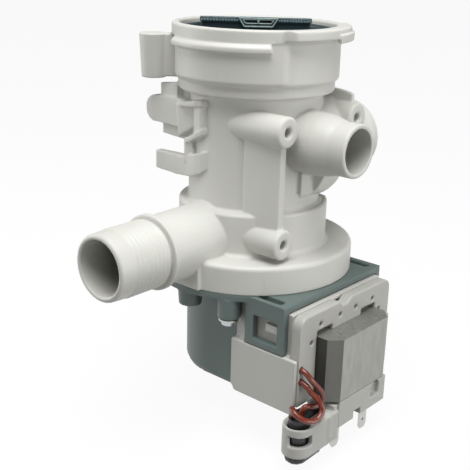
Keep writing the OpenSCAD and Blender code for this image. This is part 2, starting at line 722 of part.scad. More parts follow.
module motor_carrier() {
    color(carrier_colour) difference() {
        union() {
            // Plate that closes the volute and spreads over the coil housing.
            translate([0, 0, z_plate]) cylinder(r = flange_r, h = carrier_t);
            translate([0, -carrier_half_y, z_plate]) cube([carrier_x, 2 * carrier_half_y, carrier_t]);
            // Register ring in the casing.
            translate([0, 0, z_joint - 0.01]) difference() {
                cylinder(r = register_r - register_gap, h = register_depth - 2 * seal_tube_r - 0.09);
                translate([0, 0, -1]) cylinder(r = volute_bore_r, h = 10);
            }
            // Shroud with a round foot.
            translate([0, 0, z_shroud + 3]) linear_extrude(z_plate - z_shroud - 3 + fuse) shroud_plan(shroud_r);
            translate([0, 0, z_shroud + 1]) linear_extrude(2.01) shroud_plan(shroud_r - 0.8);
            translate([0, 0, z_shroud]) linear_extrude(1.01) shroud_plan(shroud_r - 2.4);
            // Clip legs.
            for (s = [-1, 1]) translate([leg_x0, s > 0 ? carrier_half_y - leg_t : -carrier_half_y, z_plate - leg_h])
                cube([carrier_x - leg_x0, leg_t, leg_h + fuse]);
            // Screw posts and dowels.
            for (a = screw_angles) rotate([0, 0, a])
                translate([screw_circle_r - 0.6, 0, z_plate - post_h]) cylinder(r = post_r, h = post_h + fuse);
            for (a = dowel_angles) rotate([0, 0, a])
                translate([screw_circle_r - 1.6, 0, z_plate - 7.6]) cylinder(r1 = post_r, r2 = post_r + 0.5, h = 7.6 + fuse);
        }
        // Hollow of the shroud around the rotor can, open towards the coils.
        difference() {
            translate([0, 0, z_shroud + shroud_wall]) linear_extrude(z_plate - z_shroud - shroud_wall) union() {
                shroud_plan(shroud_r - shroud_wall);
                translate([0, -shroud_r + shroud_wall]) square([shroud_end_x + 1, 2 * (shroud_r - shroud_wall)]);
            }
            translate([0, 0, z_shroud]) cylinder(r = can_r, h = -z_shroud);
        }
        // Bore of the rotor can.
        translate([0, 0, z_can_floor]) cylinder(r = can_bore_r, h = -z_can_floor);
        // Windows of the clip legs.
        translate([window_x0, -carrier_half_y - 1, z_joint - window_top - window_h])
            cube([window_x1 - window_x0, 2 * carrier_half_y + 2, window_h]);
        // Slots in the plate.
        for (s = [-1, 1]) translate([34.6, s * 34.6 - 2, z_plate - 1]) cube([14.6, 4, carrier_t + 2]);
        // Screw clearance and head recesses.
        for (a = screw_angles) rotate([0, 0, a]) {
            translate([screw_circle_r, 0, z_plate - post_h - 1]) cylinder(r = screw_r + 0.3, h = post_h + carrier_t + 2);
        }
        for (a = dowel_angles) rotate([0, 0, a])
            translate([screw_circle_r - 1.6, 0, z_plate - 8.6]) cylinder(r = post_r - 1.6, h = 6);
    }
}

module carrier_seal() {
    color(rubber_colour) translate([0, 0, z_joint + register_depth - seal_tube_r - 0.04]) rotate_extrude()
        translate([register_r - seal_tube_r - 0.8, 0]) circle(r = seal_tube_r - 0.02, $fn = 24);
}

washer_t = 0.9;
washer_r = 4.9;

module carrier_screws() {
    z_head = z_plate - post_h - washer_t - 2 * 0.05;
    color(steel_colour) for (a = screw_angles) rotate([0, 0, a]) translate([screw_circle_r, 0, 0]) {
        translate([0, 0, z_head]) cylinder(r = screw_r - 0.05, h = z_joint + screw_depth - 1 - z_head);
        difference() {
            translate([0, 0, z_head - 2.2]) cylinder(r1 = 3.4, r2 = 3.9, h = 2.2);
            translate([0, 0, z_head - 3.2]) cylinder(r = 1.6, h = 2.2, $fn = 6);
        }
    }
}

module carrier_washers() {
    color([0.72, 0.73, 0.74]) for (a = screw_angles) rotate([0, 0, a])
        translate([screw_circle_r, 0, z_plate - post_h - washer_t - 0.05]) difference() {
            cylinder(r = washer_r, h = washer_t);
            translate([0, 0, -1]) cylinder(r = screw_r + 0.25, h = washer_t + 2);
        }
}

// Stator

leg_end_x = -15;
pole_clear = 0.5;
yoke_chamfer = 5.5;

// U-shaped stack: two legs that clasp the rotor can, joined by the yoke.
module stator_core() {
    yoke_in = yoke_x - yoke_t;
    color(steel_colour) translate([0, 0, z_stack_low]) linear_extrude(stack_h) difference() {
        union() {
            for (s = [-1, 1]) translate([leg_end_x, s > 0 ? stator_half_y - leg_w : -stator_half_y])
                square([yoke_in + fuse - leg_end_x, leg_w]);
            polygon([
                [yoke_in, -stator_half_y], [yoke_x - yoke_chamfer, -stator_half_y],
                [yoke_x, -stator_half_y + yoke_chamfer], [yoke_x, stator_half_y - yoke_chamfer],
                [yoke_x - yoke_chamfer, stator_half_y], [yoke_in, stator_half_y]]);
        }
        circle(can_r + pole_clear);
    }
}

// Coils

tube_wall = 0.8;
tube_gap = 0.2;
bobbin_x0 = shroud_end_x + 3.4;
flange_x1 = yoke_x - yoke_t - 0.2;
flange_t = 5.6;
flange_x0 = flange_x1 - flange_t;
end_cheek_t = 1.4;
winding_x0 = bobbin_x0 + end_cheek_t + seat_gap;
winding_side = 3.6;
winding_end = 1.8;
housing_x0 = shroud_end_x + 0.4;
housing_x1 = flange_x0 + 2.2;
housing_top = z_plate - 0.4;
housing_h = 48.1;
z_housing = housing_top - housing_h;
bobbin_half_y = 37;
leg_mid_y = stator_half_y - leg_w / 2;
core_mid_z = (z_stack + z_stack_low) / 2;

// One winding tube around a stator leg.
module leg_tube(s, grow, x0, x1) {
    translate([x0, s * leg_mid_y - leg_w / 2 - grow, z_stack_low - grow])
        cube([x1 - x0, leg_w + 2 * grow, stack_h + 2 * grow]);
}

// Front cheek with two humps, the pillar at its side and the terminal block below.
block_y0 = -18.6;
block_y1 = 21;
block_h = 14;
z_block = z_stack_low - 0.3;

module cheek_outline() {
    top = housing_top - z_stack_low;
    translate([0, z_stack_low]) polygon(concat(
        [[-bobbin_half_y, 0]],
        arc(-bobbin_half_y + 5, top - 5, 5, 180, 90, 5),
        [[-6.5, top], [-4.5, top - 2.4], [-1, top - 2.4], [2.5, top]],
        arc(bobbin_half_y - 5, top - 5, 5, 90, 0, 5),
        [[bobbin_half_y, 0]]));
}

module coil_bobbin() {
    color(housing_colour) difference() {
        union() {
            // Cheek.
            translate([flange_x0, 0, 0]) rotate([90, 0, 90]) linear_extrude(flange_t) cheek_outline();
            // Tubes that carry the windings.
            for (s = [-1, 1]) leg_tube(s, tube_gap + tube_wall, bobbin_x0, flange_x0 + fuse);
            // Cheek at their rotor end.
            translate([bobbin_x0, -stator_half_y - 7, z_stack_low - 2.6]) cube([end_cheek_t, 2 * stator_half_y + 14, stack_h + 5.2]);
            // Terminal block under the yoke.
            translate([flange_x0, block_y0, z_block - block_h])
                cube([yoke_x - 5 - flange_x0, block_y1 - block_y0, block_h]);
            translate([yoke_x - 5.1, block_y0, z_block - block_h]) cube([5.1, block_y1 - block_y0, block_h]);
            // Neck between the cheek and the block.
            translate([flange_x0, block_y0, z_block - 1]) cube([flange_t, block_y1 - block_y0, 2]);
        }
        // Windows for the stator legs.
        for (s = [-1, 1]) leg_tube(s, tube_gap, bobbin_x0 - 1, flange_x1 + 1);
        // Gaps above the legs in the cheek.
        for (s = [-1, 1]) translate([flange_x0 + 2, s * leg_mid_y - leg_w / 2 - tube_gap, z_stack - 1])
            cube([flange_t, leg_w + 2 * tube_gap, 3.6]);
        // Moulding holes along the cheek.
        for (y = [-28, -21.5, -6, 7, 21.5, 28]) translate([flange_x1 - 3, 0, 0])
            along_x(y, z_stack + (abs(y) > 27 ? -2 : 5.6)) cylinder(r = 1.25, h = 4, $fn = 24);
        // Notch between the terminals and the latch recess beside them.
        translate([yoke_x - 6, -6, z_block - block_h - 1]) cube([8, 6, 5]);
        translate([yoke_x - 2.6, 12, z_block - 3.6]) along_x(0, 0) cylinder(r = 3.6, h = 4);
        translate([yoke_x - 2.6, 8.4, z_block - 8.4]) cube([4, 7.2, 4.8]);
        // Holes of the two leads.
        for (z = [z_upper_lead, z_lower_lead]) translate([lead_x - seat_gap, 0, 0])
            along_x(lead_y, z) cylinder(r = lead_r + seat_gap, h = 6);
        // Slots that hold the terminals.
        for (y = [-spade_pitch / 2, spade_pitch / 2])
            translate([spade_x - 0.05, y - spade_w / 2 - 0.05, z_block - block_h - 1])
                cube([spade_t + 0.1, spade_w + 0.1, 10]);
    }
}

spade_x = yoke_x - 6.5;

module terminal(y) {
    z_tip = z_block - block_h - spade_l;
    color([0.78, 0.79, 0.80]) difference() {
        translate([spade_x, y, 0]) rotate([90, 0, 90]) linear_extrude(spade_t) polygon([
            [-spade_w / 2, z_block - block_h + 8], [-spade_w / 2, z_tip + 2], [-spade_w / 2 + 1.4, z_tip],
            [spade_w / 2 - 1.4, z_tip], [spade_w / 2, z_tip + 2], [spade_w / 2, z_block - block_h + 8]]);
        translate([spade_x - 1, y, z_tip + 5]) rotate([0, 90, 0]) cylinder(r = 0.85, h = 3, $fn = 24);
    }
}

module front_terminal() {
    terminal(-spade_pitch / 2);
}

module rear_terminal() {
    terminal(spade_pitch / 2);
}

module winding(s) {
    color([0.62, 0.30, 0.16]) difference() {
        translate([winding_x0, s * leg_mid_y, core_mid_z]) rotate([90, 0, 90])
            linear_extrude(flange_x0 - seat_gap - winding_x0)
                rounded_rect(leg_w + 2 * (tube_gap + tube_wall + winding_side),
                    stack_h + 2 * (tube_gap + tube_wall + winding_end), 2.4);
        leg_tube(s, tube_gap + tube_wall + seat_gap / 2, bobbin_x0, flange_x0 + 1);
    }
}

module front_winding() {
    winding(-1);
}

module rear_winding() {
    winding(1);
}

// Housing over both coils. Its sides step in where the carrier's legs clip over the lugs.
step_z = z_plate - leg_h - 0.3;
housing_half_y = carrier_half_y;
housing_wall = 2;
housing_floor = 1;

module coil_housing() {
    inner_half_y = housing_half_y - leg_t - 0.3;
    color(housing_colour) difference() {
        union() {
            translate([housing_x0, -inner_half_y, z_housing]) cube([housing_x1 - housing_x0, 2 * inner_half_y, housing_h]);
            // Deeper lower part with a chamfered foot.
            translate([0, housing_half_y, 0]) rotate([90, 0, 0]) linear_extrude(2 * housing_half_y) polygon([
                [housing_x0, step_z], [housing_x0, z_housing + 3.4], [housing_x0 + 2.6, z_housing],
                [housing_x1 + 2.6, z_housing], [housing_x1 + 2.6, step_z]]);
            // Lugs in the leg windows.
            for (s = [-1, 1]) translate([42, s > 0 ? inner_half_y - fuse : -inner_half_y - 2.6, z_joint - 15])
                cube([7, 3, 4]);
        }
        // Hollow for the bobbin and the coils, open towards the yoke.
        translate([bobbin_x0 - 1, -inner_half_y + housing_wall, z_housing + housing_floor])
            cube([housing_x1 + 6 - bobbin_x0, 2 * (inner_half_y - housing_wall), housing_h - housing_floor - housing_wall]);
        // Entry of the stator legs.
        for (s = [-1, 1]) leg_tube(s, 0.4, housing_x0 - 1, bobbin_x0 + 1);
        // Notches round the carrier's screw posts.
        for (a = [screw_angles[0], screw_angles[1]]) rotate([0, 0, a])
            translate([screw_circle_r - 0.6, 0, z_plate - post_h - 4]) cylinder(r = post_r + 0.4, h = post_h + 5);
        // Way out for the terminal block.
        translate([flange_x0 - 0.2, -housing_half_y + 6, z_housing - 1])
            cube([20, housing_half_y - 6 + block_y1 + 0.3, housing_floor + 2]);
        // Room for the cheek.
        translate([flange_x0 - 0.2, -bobbin_half_y - 0.2, z_housing + housing_floor])
            cube([20, 2 * bobbin_half_y + 0.4, housing_h + 10]);
    }
}

// Thermal protector

protector_x = 65.9;
protector_y = -41.2;
protector_span = 9;
z_protector = z_housing + 2.7;
clip_wall = 2.3;
clip_gap = 0.3;
clip_h = 15;
clip_drop = 3.2;
clip_half = protector_r + clip_gap + clip_wall;
z_clip_low = z_protector - clip_drop - clip_h;
bulge_x = 70.2;
bulge_y = -26;
bulge_r = 3.4;
plate_t = 3;
window_clip_h = 5.2;

// Where the leads leave the cheek, and how deep they sit in the protector.
lead_x = 58.8;
lead_y = -35;
z_upper_lead = -149.4;
z_lower_lead = -155.4;
lead_depth = 2.4;

// Oblong plan round the protector, from its round front end to a far end at reach.
module oblong(r, reach) {
    union() {
        translate([protector_x, protector_y]) circle(r);
        translate([protector_x - r, protector_y]) square([2 * r, reach]);
    }
}

module thermal_protector() {
    color([0.07, 0.07, 0.08]) difference() {
        union() {
            translate([0, 0, z_protector - protector_l + 1]) linear_extrude(protector_l - 1) union() {
                oblong(protector_r, protector_span);
                translate([protector_x, protector_y + protector_span]) circle(protector_r);
            }
            translate([0, 0, z_protector - protector_l]) linear_extrude(1.01) union() {
                oblong(protector_r - 1, protector_span);
                translate([protector_x, protector_y + protector_span]) circle(protector_r - 1);
            }
        }
        // Sockets of the leads.
        for (p = [[65.4, -38.3], [63.9, -42.9]]) translate([p[0], p[1], z_protector - lead_depth - seat_gap])
            cylinder(r = lead_r + seat_gap, h = 10);
    }
}

// Holder that grips the protector and hangs beside the terminal block.
module protector_clip() {
    far_y = block_y0 - seat_gap;
    color(housing_colour) difference() {
        union() {
            translate([0, 0, z_clip_low]) linear_extrude(clip_h) oblong(clip_half, far_y - protector_y);
            // Half-round column and plate that close it against the terminal block.
            translate([bulge_x, bulge_y, z_clip_low + 3]) cylinder(r = bulge_r, h = clip_h - 3);
            translate([bulge_x, bulge_y, z_clip_low + clip_h - 0.01]) cylinder(r1 = bulge_r, r2 = 1.6, h = 1.8);
            translate([flange_x0, far_y - plate_t, z_clip_low + 5])
                cube([yoke_x - 1 - flange_x0, plate_t, z_block - 1.2 - z_clip_low - 5]);
        }
        // Pocket for the protector.
        translate([0, 0, z_clip_low - 1]) linear_extrude(clip_h + 2) union() {
            oblong(protector_r + clip_gap, protector_span);
            translate([protector_x, protector_y + protector_span]) circle(protector_r + clip_gap);
        }
        // Window across its front, the hollow behind the pocket and the flared lip.
        translate([protector_x - 0.3, protector_y - clip_half - 1, z_clip_low + 5.8])
            cube([clip_half + 1.3, clip_half + 2.9, window_clip_h]);
        translate([protector_x - protector_r, far_y - 6.8, z_clip_low - 1]) cube([2 * protector_r, 4.6, clip_h - 1]);
        translate([protector_x, protector_y, z_clip_low + clip_h - 1.2])
            cylinder(r1 = protector_r + clip_gap, r2 = clip_half - 0.9, h = 1.21);
    }
}

// Leads: swept tubes out of the bobbin's cheek, round to the protector's head.
upper_route = rounded([[lead_x, lead_y, z_upper_lead], [lead_x + 5.2, lead_y, z_upper_lead],
    [67.4, -33.8, -153.6], [69.4, -28.4, -160], [69, -26.9, -165.4], [68.4, -32.6, -166.8],
    [66.6, -37.8, -164.8], [65.4, -38.3, -168.4], [65.4, -38.3, z_protector - lead_depth]]);
lower_route = rounded([[lead_x, lead_y, z_lower_lead], [lead_x + 5.2, lead_y, z_lower_lead],
    [67.4, -35, -158.4], [71.8, -33.6, -161.6], [74.2, -33.2, -166], [74, -38.6, -169.6],
    [71.4, -44.6, -167.8], [66.8, -46, -165], [63.5, -43.6, -164.2], [63.9, -42.9, -168.2],
    [63.9, -42.9, z_protector - lead_depth]]);

function unit(v) = v / norm(v);

// Cuts the corners of a route twice, which leaves its ends where they are.
function cut_corners(p) = concat([p[0]],
    [for (i = [0:len(p) - 2]) each [0.75 * p[i] + 0.25 * p[i + 1], 0.25 * p[i] + 0.75 * p[i + 1]]],
    [p[len(p) - 1]]);
function rounded(p) = cut_corners(cut_corners(p));
function tangent(p, i) = unit(p[min(i + 1, len(p) - 1)] - p[max(i - 1, 0)]);
function ring(p, i, r, sides) = let (t = tangent(p, i), u = unit(cross(t, [0.3, 1, 0.1])), v = cross(t, u))
    [for (k = [0:sides - 1]) p[i] + r * (cos(360 * k / sides) * u + sin(360 * k / sides) * v)];

module swept_tube(p, r, sides = 8) {
    n = len(p);
    points = [for (i = [0:n - 1]) each ring(p, i, r, sides)];
    sides_faces = [for (i = [0:n - 2]) for (k = [0:sides - 1])
        let (a = i * sides + k, b = a + sides, d = i * sides + (k + 1) % sides, c = d + sides)
            each [[a, b, c], [a, c, d]]];
    polyhedron(points, concat([[for (k = [0:sides - 1]) k]], sides_faces,
        [[for (k = [sides - 1:-1:0]) (n - 1) * sides + k]]));
}

module upper_lead() {
    color([0.55, 0.20, 0.13]) swept_tube(upper_route, lead_r);
}

module lower_lead() {
    color([0.55, 0.20, 0.13]) swept_tube(lower_route, lead_r);
}

pump_casing();
filter_plug();
filter_basket();
filter_seal();
impeller();
drive_dog();
rotor_shaft();
rotor_magnet();
thrust_washer();
shaft_seal();
front_bush();
front_bush_holder();
rear_bush();
rear_bush_cushion();
motor_carrier();
carrier_seal();
carrier_screws();
carrier_washers();
stator_core();
coil_bobbin();
front_winding();
rear_winding();
coil_housing();
front_terminal();
rear_terminal();
thermal_protector();
protector_clip();
upper_lead();
lower_lead();
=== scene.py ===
"""Washer drain pump: finishes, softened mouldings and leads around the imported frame."""

import math

import bmesh
import bpy
from bpy.props import FloatProperty, IntProperty, PointerProperty, StringProperty
from bpy.types import Operator, Panel, PropertyGroup
from mathutils import Matrix, Vector


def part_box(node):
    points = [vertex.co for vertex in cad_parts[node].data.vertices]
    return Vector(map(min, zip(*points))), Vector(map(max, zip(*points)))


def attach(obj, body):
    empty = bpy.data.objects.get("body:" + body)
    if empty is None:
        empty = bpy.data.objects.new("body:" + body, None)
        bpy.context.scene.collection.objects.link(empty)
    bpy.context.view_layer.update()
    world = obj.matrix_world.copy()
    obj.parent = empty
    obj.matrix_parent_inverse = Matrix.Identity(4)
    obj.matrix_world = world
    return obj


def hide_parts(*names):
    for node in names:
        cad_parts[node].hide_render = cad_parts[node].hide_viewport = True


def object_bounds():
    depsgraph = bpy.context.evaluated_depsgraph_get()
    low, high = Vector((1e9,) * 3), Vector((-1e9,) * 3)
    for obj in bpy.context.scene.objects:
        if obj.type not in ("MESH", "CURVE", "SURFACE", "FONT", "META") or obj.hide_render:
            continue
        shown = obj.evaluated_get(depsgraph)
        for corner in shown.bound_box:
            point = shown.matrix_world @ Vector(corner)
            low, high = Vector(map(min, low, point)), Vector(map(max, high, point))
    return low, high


bl_info = {
    "name": "Washer drain pump",
    "version": (1, 0, 0),
    "blender": (4, 5, 0),
    "location": "View3D > Sidebar > Drain pump",
    "description": "Dresses a washer drain pump with its mouldings, metals, coils and leads",
    "category": "Add Mesh",
}

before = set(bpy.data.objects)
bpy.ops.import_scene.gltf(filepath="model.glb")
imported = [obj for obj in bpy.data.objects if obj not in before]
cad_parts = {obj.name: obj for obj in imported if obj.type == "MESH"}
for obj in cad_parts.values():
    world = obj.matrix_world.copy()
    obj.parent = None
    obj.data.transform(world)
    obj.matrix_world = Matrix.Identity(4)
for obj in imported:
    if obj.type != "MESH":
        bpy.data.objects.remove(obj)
cad_low, cad_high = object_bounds()

MM = 0.001
# A wave texture of scale 1 repeats every 0.314 of a metre.
WAVE_REPEAT = 0.314
FINE_SKIN, PLAIN_SKIN = 0.4 * MM, 0.5 * MM
UP, OUTLET_WAY = Vector((0, 0, 1)), Vector((0, -1, 0))


class CasingSettings(PropertyGroup):
    """Pump casing and its ribbed outlet."""

    colour: StringProperty(
        name="Casing colour", description="Light grey of the casing moulding", default="#CDCDC7")
    voxel: FloatProperty(
        name="Skin cell", description="Cell of the skin that rounds the casing's edges",
        default=0.45 * MM, min=0.3 * MM, max=2 * MM, unit="LENGTH")
    rounds: IntProperty(
        name="Softening rounds", description="Smoothing rounds, which set the edge radius", default=3, min=0, max=40)
    rib_pitch: FloatProperty(
        name="Rib pitch", description="Spacing of the hose ribs on the drain outlet",
        default=2.5 * MM, min=1 * MM, max=5 * MM, unit="LENGTH")
    rib_height: FloatProperty(
        name="Rib height", description="How far a hose rib stands proud",
        default=0.7 * MM, min=0.1 * MM, max=1.5 * MM, unit="LENGTH")
    grain: FloatProperty(
        name="Mould grain", description="Width of one grain of the spark-eroded mould",
        default=0.45 * MM, min=0.05 * MM, max=3 * MM, unit="LENGTH")


class FilterSettings(PropertyGroup):
    """Filter plug and basket."""

    colour: StringProperty(
        name="Plug colour", description="Dark petrol of the filter plug", default="#2A3D43")
    serration: FloatProperty(
        name="Grip serration", description="Spacing of the fine teeth along the grip bar",
        default=1.4 * MM, min=0.5 * MM, max=4 * MM, unit="LENGTH")


class MotorSettings(PropertyGroup):
    """Carrier, coil housing, bobbin and laminations."""

    carrier_colour: StringProperty(
        name="Carrier colour", description="Grey teal of the motor carrier", default="#5E6C69")
    housing_colour: StringProperty(
        name="Housing colour", description="Light grey of the coil housing", default="#BDBDB8")
    bobbin_colour: StringProperty(
        name="Bobbin colour", description="Off-white of the coil bobbin", default="#B2B2AD")
    sheet: FloatProperty(
        name="Sheet pitch", description="Spacing of the laminations as drawn",
        default=1.0 * MM, min=0.3 * MM, max=2 * MM, unit="LENGTH")


class LeadSettings(PropertyGroup):
    """Protector and its two leads."""

    colour: StringProperty(
        name="Lead colour", description="Red-brown of the lead sleeves", default="#7C2E16")
    radius: FloatProperty(
        name="Lead radius", description="Outer radius of a sleeved lead",
        default=1.4 * MM, min=0.5 * MM, max=2 * MM, unit="LENGTH")


class StageSettings(PropertyGroup):
    """Floor, lamps and camera."""

    key: FloatProperty(
        name="Key lamp", description="Power of the large lamp above the pump", default=8.6, min=0, unit="POWER")
    left: FloatProperty(
        name="Left lamp", description="Power of the lamp on the outlet's side", default=3.3, min=0, unit="POWER")
    right: FloatProperty(
        name="Right lamp", description="Power of the lamp on the yoke's side", default=5.1, min=0, unit="POWER")
    sky: FloatProperty(
        name="Room light", description="Strength of the even light from all round", default=0.23, min=0, max=2)


def linear(hex_code):
    """Linear RGBA of an sRGB hex colour."""
    parts = [int(hex_code[i:i + 2], 16) / 255 for i in (1, 3, 5)]
    return (*(p / 12.92 if p <= 0.04045 else ((p + 0.055) / 1.055) ** 2.4 for p in parts), 1.0)


def shade(hex_code, factor):
    """The colour made darker or lighter by a factor on its linear values."""
    r, g, b, _ = linear(hex_code)
    return (r * factor, g * factor, b * factor, 1.0)


def per_metre(size):
    """Texture scale of a pattern whose feature has this size in metres."""
    return 1 / size


def add_node(tree, kind, sockets=None, **settings):
    """Adds a shader node, sets its properties, and fills its sockets with values or links."""
    made = tree.nodes.new(kind)
    for name, value in settings.items():
        setattr(made, name, value)
    for name, value in (sockets or {}).items():
        if isinstance(value, bpy.types.NodeSocket):
            tree.links.new(value, made.inputs[name])
        else:
            made.inputs[name].default_value = value
    return made


def new_material(name):
    """An empty material with its output, and the place that its patterns are laid out in."""
    made = bpy.data.materials.new(name)
    made.use_nodes = True
    made.node_tree.nodes.clear()
    place = add_node(made.node_tree, "ShaderNodeTexCoord").outputs["Object"]
    return made, made.node_tree, place


def finish_material(tree, surface):
    """Joins the surface to the material's output."""
    add_node(tree, "ShaderNodeOutputMaterial", {"Surface": surface.outputs[0]})


def moulded(name, colour, roughness, grain, depth, flow=0.06, ior=1.49, glow=0.0, edge_wear_and_highlight=0.05):
    """Injection-moulded plastic: even colour with faint flow marks, and the grain of its mould.

    Grain is the width of one grain, depth its height, flow the share that the colour varies by,
    glow the light that scatters under the skin, and edge_wear_and_highlight how much sharp edges are painted paler,
    partly as wear and partly as a painted highlight.
    """
    made, tree, place = new_material(name)
    marks = add_node(tree, "ShaderNodeTexNoise", {
        "Vector": place, "Scale": per_metre(26 * MM), "Detail": 3.0, "Distortion": 0.6})
    tone = add_node(tree, "ShaderNodeMix", {
        "Factor": marks.outputs["Fac"], "A": shade(colour, 1 - flow), "B": shade(colour, 1 + flow)},
        data_type="RGBA")
    # Sharp edges are painted paler by their pointiness: partly wear, partly a painted highlight where edges catch
    # light.
    bend = add_node(tree, "ShaderNodeNewGeometry").outputs["Pointiness"]
    edge = add_node(tree, "ShaderNodeMapRange", {
        "Value": bend, "From Min": 0.53, "From Max": 0.62, "To Min": 0.0, "To Max": edge_wear_and_highlight})
    tint = add_node(tree, "ShaderNodeMix", {
        "Factor": edge.outputs[0], "A": tone.outputs["Result"], "B": shade(colour, 1.5)}, data_type="RGBA")
    pits = add_node(tree, "ShaderNodeTexNoise", {
        "Vector": place, "Scale": per_metre(grain), "Detail": 2.0, "Roughness": 0.6})
    gloss = add_node(tree, "ShaderNodeMapRange", {
        "Value": marks.outputs["Fac"], "To Min": roughness - 0.05, "To Max": roughness + 0.06})
    relief = add_node(tree, "ShaderNodeBump", {
        "Height": pits.outputs["Fac"], "Distance": depth, "Strength": 0.7})
    surface = add_node(tree, "ShaderNodeBsdfPrincipled", {
        "Base Color": tint.outputs["Result"], "Roughness": gloss.outputs[0], "IOR": ior,
        "Normal": relief.outputs[0], "Subsurface Weight": glow, "Subsurface Scale": 1.2 * MM})
    finish_material(tree, surface)
    return made


def casing_polypropylene():
    """Talc-filled polypropylene in a spark-eroded mould: a soft sheen, slightly waxy."""
    s = bpy.context.scene.pump_casing
    return moulded("Moulded polypropylene, casing", s.colour, 0.46, s.grain, 0.03 * MM, flow=0.03, glow=0.06)


def filter_polypropylene():
    """Polypropylene dyed dark petrol, its edges painted paler, partly as handling wear and partly as a painted
    highlight.
    """
    s = bpy.context.scene.pump_filter
    # Painted highlight: the edge tint lightens the plug's edges where light catches them, on top of handling wear.
    return moulded("Moulded polypropylene, filter", s.colour, 0.38, 0.5 * MM, 0.03 * MM, flow=0.12, edge_wear_and_highlight=0.25)


def highlight_painted_polypropylene(name, colour):
    """The plug's polypropylene painted paler and glossier than the rest: a painted highlight where its teeth and
    ridges catch light.
    """
    # Painted highlight: the colour passed in is paler than the plug's own, with strong edge tint, for plastic that
    # catches light.
    return moulded(name, colour, 0.3, 0.6 * MM, 0.02 * MM, flow=0.12, edge_wear_and_highlight=0.35)


def carrier_polyamide():
    """Glass-filled polyamide: grey teal, with fibres that mottle the skin and dull its shine."""
    s = bpy.context.scene.pump_motor
    return moulded("Moulded glass-filled polyamide, carrier", s.carrier_colour, 0.42, 0.6 * MM, 0.05 * MM,
                   flow=0.08, ior=1.53, edge_wear_and_highlight=0.12)


def housing_polyester():
    """Glass-filled polyester over the coils: light grey, matt, with a fine grain."""
    s = bpy.context.scene.pump_motor
    return moulded("Moulded polyester, coil housing", s.housing_colour, 0.55, 0.4 * MM, 0.04 * MM, ior=1.55)


def bobbin_polyamide():
    """Natural polyamide: off-white, a little light goes through it."""
    s = bpy.context.scene.pump_motor
    return moulded("Moulded polyamide, bobbin", s.bobbin_colour, 0.42, 0.5 * MM, 0.03 * MM, ior=1.53, glow=0.12)


def impeller_polypropylene():
    """Glass-filled polypropylene that runs in water: mid grey and satin."""
    return moulded("Moulded polypropylene, impeller", "#A9ABA9", 0.4, 0.5 * MM, 0.03 * MM)


def acetal():
    """Moulded acetal: white, dense and slippery, so it has a clean highlight."""
    return moulded("Moulded acetal, drive dog", "#E0E0DC", 0.3, 0.3 * MM, 0.01 * MM, ior=1.48, glow=0.15)


def holder_polyamide():
    """Black polyamide of the bush holder: satin and slightly grainy."""
    return moulded("Moulded polyamide, bush holder", "#3A3B3B", 0.45, 0.5 * MM, 0.03 * MM, ior=1.53)


def seal_rubber():
    """Nitrile rubber: near black, with a dull bloom that scatters light."""
    return moulded("Moulded nitrile rubber", "#1B1B1C", 0.62, 0.25 * MM, 0.02 * MM, flow=0.2, ior=1.52, edge_wear_and_highlight=0.0)


def protector_sleeve():
    """Polyester shrink sleeve: black, tight over the cut-out, with soft wrinkles that catch light."""
    made, tree, place = new_material("Shrunk polyester sleeve, protector")
    stretched = add_node(tree, "ShaderNodeMapping", {"Vector": place, "Scale": (1, 1, 0.35)})
    wrinkles = add_node(tree, "ShaderNodeTexNoise", {
        "Vector": stretched.outputs[0], "Scale": per_metre(3 * MM), "Detail": 3.0, "Distortion": 0.8})
    relief = add_node(tree, "ShaderNodeBump", {
        "Height": wrinkles.outputs["Fac"], "Distance": 0.5 * MM, "Strength": 0.8})
    tone = add_node(tree, "ShaderNodeMix", {
        "Factor": wrinkles.outputs["Fac"], "A": linear("#0E0E10"), "B": linear("#232326")}, data_type="RGBA")
    surface = add_node(tree, "ShaderNodeBsdfPrincipled", {
        "Base Color": tone.outputs["Result"], "Roughness": 0.22, "IOR": 1.57, "Normal": relief.outputs[0]})
    finish_material(tree, surface)
    return made


def lead_sleeving():
    """Varnished glass sleeving on the leads: red-brown braid under a wet-looking lacquer.

    Its strands are finer than this, and are drawn 1.1 mm apart so that they show.
    """
    s = bpy.context.scene.pump_leads
    made, tree, place = new_material("Varnished glass sleeving, leads")
    braid = add_node(tree, "ShaderNodeTexVoronoi", {
        "Vector": place, "Scale": per_metre(1.1 * MM), "Randomness": 0.6}, feature="SMOOTH_F1")
    patches = add_node(tree, "ShaderNodeTexNoise", {"Vector": place, "Scale": per_metre(3.5 * MM), "Detail": 3.0})
    tone = add_node(tree, "ShaderNodeMix", {
        "Factor": patches.outputs["Fac"], "A": shade(s.colour, 0.35), "B": shade(s.colour, 1.9)}, data_type="RGBA")
    woven = add_node(tree, "ShaderNodeMix", {
        "Factor": braid.outputs["Distance"], "A": tone.outputs["Result"], "B": shade(s.colour, 0.3)},
        data_type="RGBA")
    relief = add_node(tree, "ShaderNodeBump", {
        "Height": braid.outputs["Distance"], "Distance": 0.3 * MM, "Strength": 0.7}, invert=True)
    surface = add_node(tree, "ShaderNodeBsdfPrincipled", {
        "Base Color": woven.outputs["Result"], "Roughness": 0.34, "IOR": 1.5, "Normal": relief.outputs[0],
        "Coat Weight": 0.5, "Coat Roughness": 0.08})
    finish_material(tree, surface)
    return made


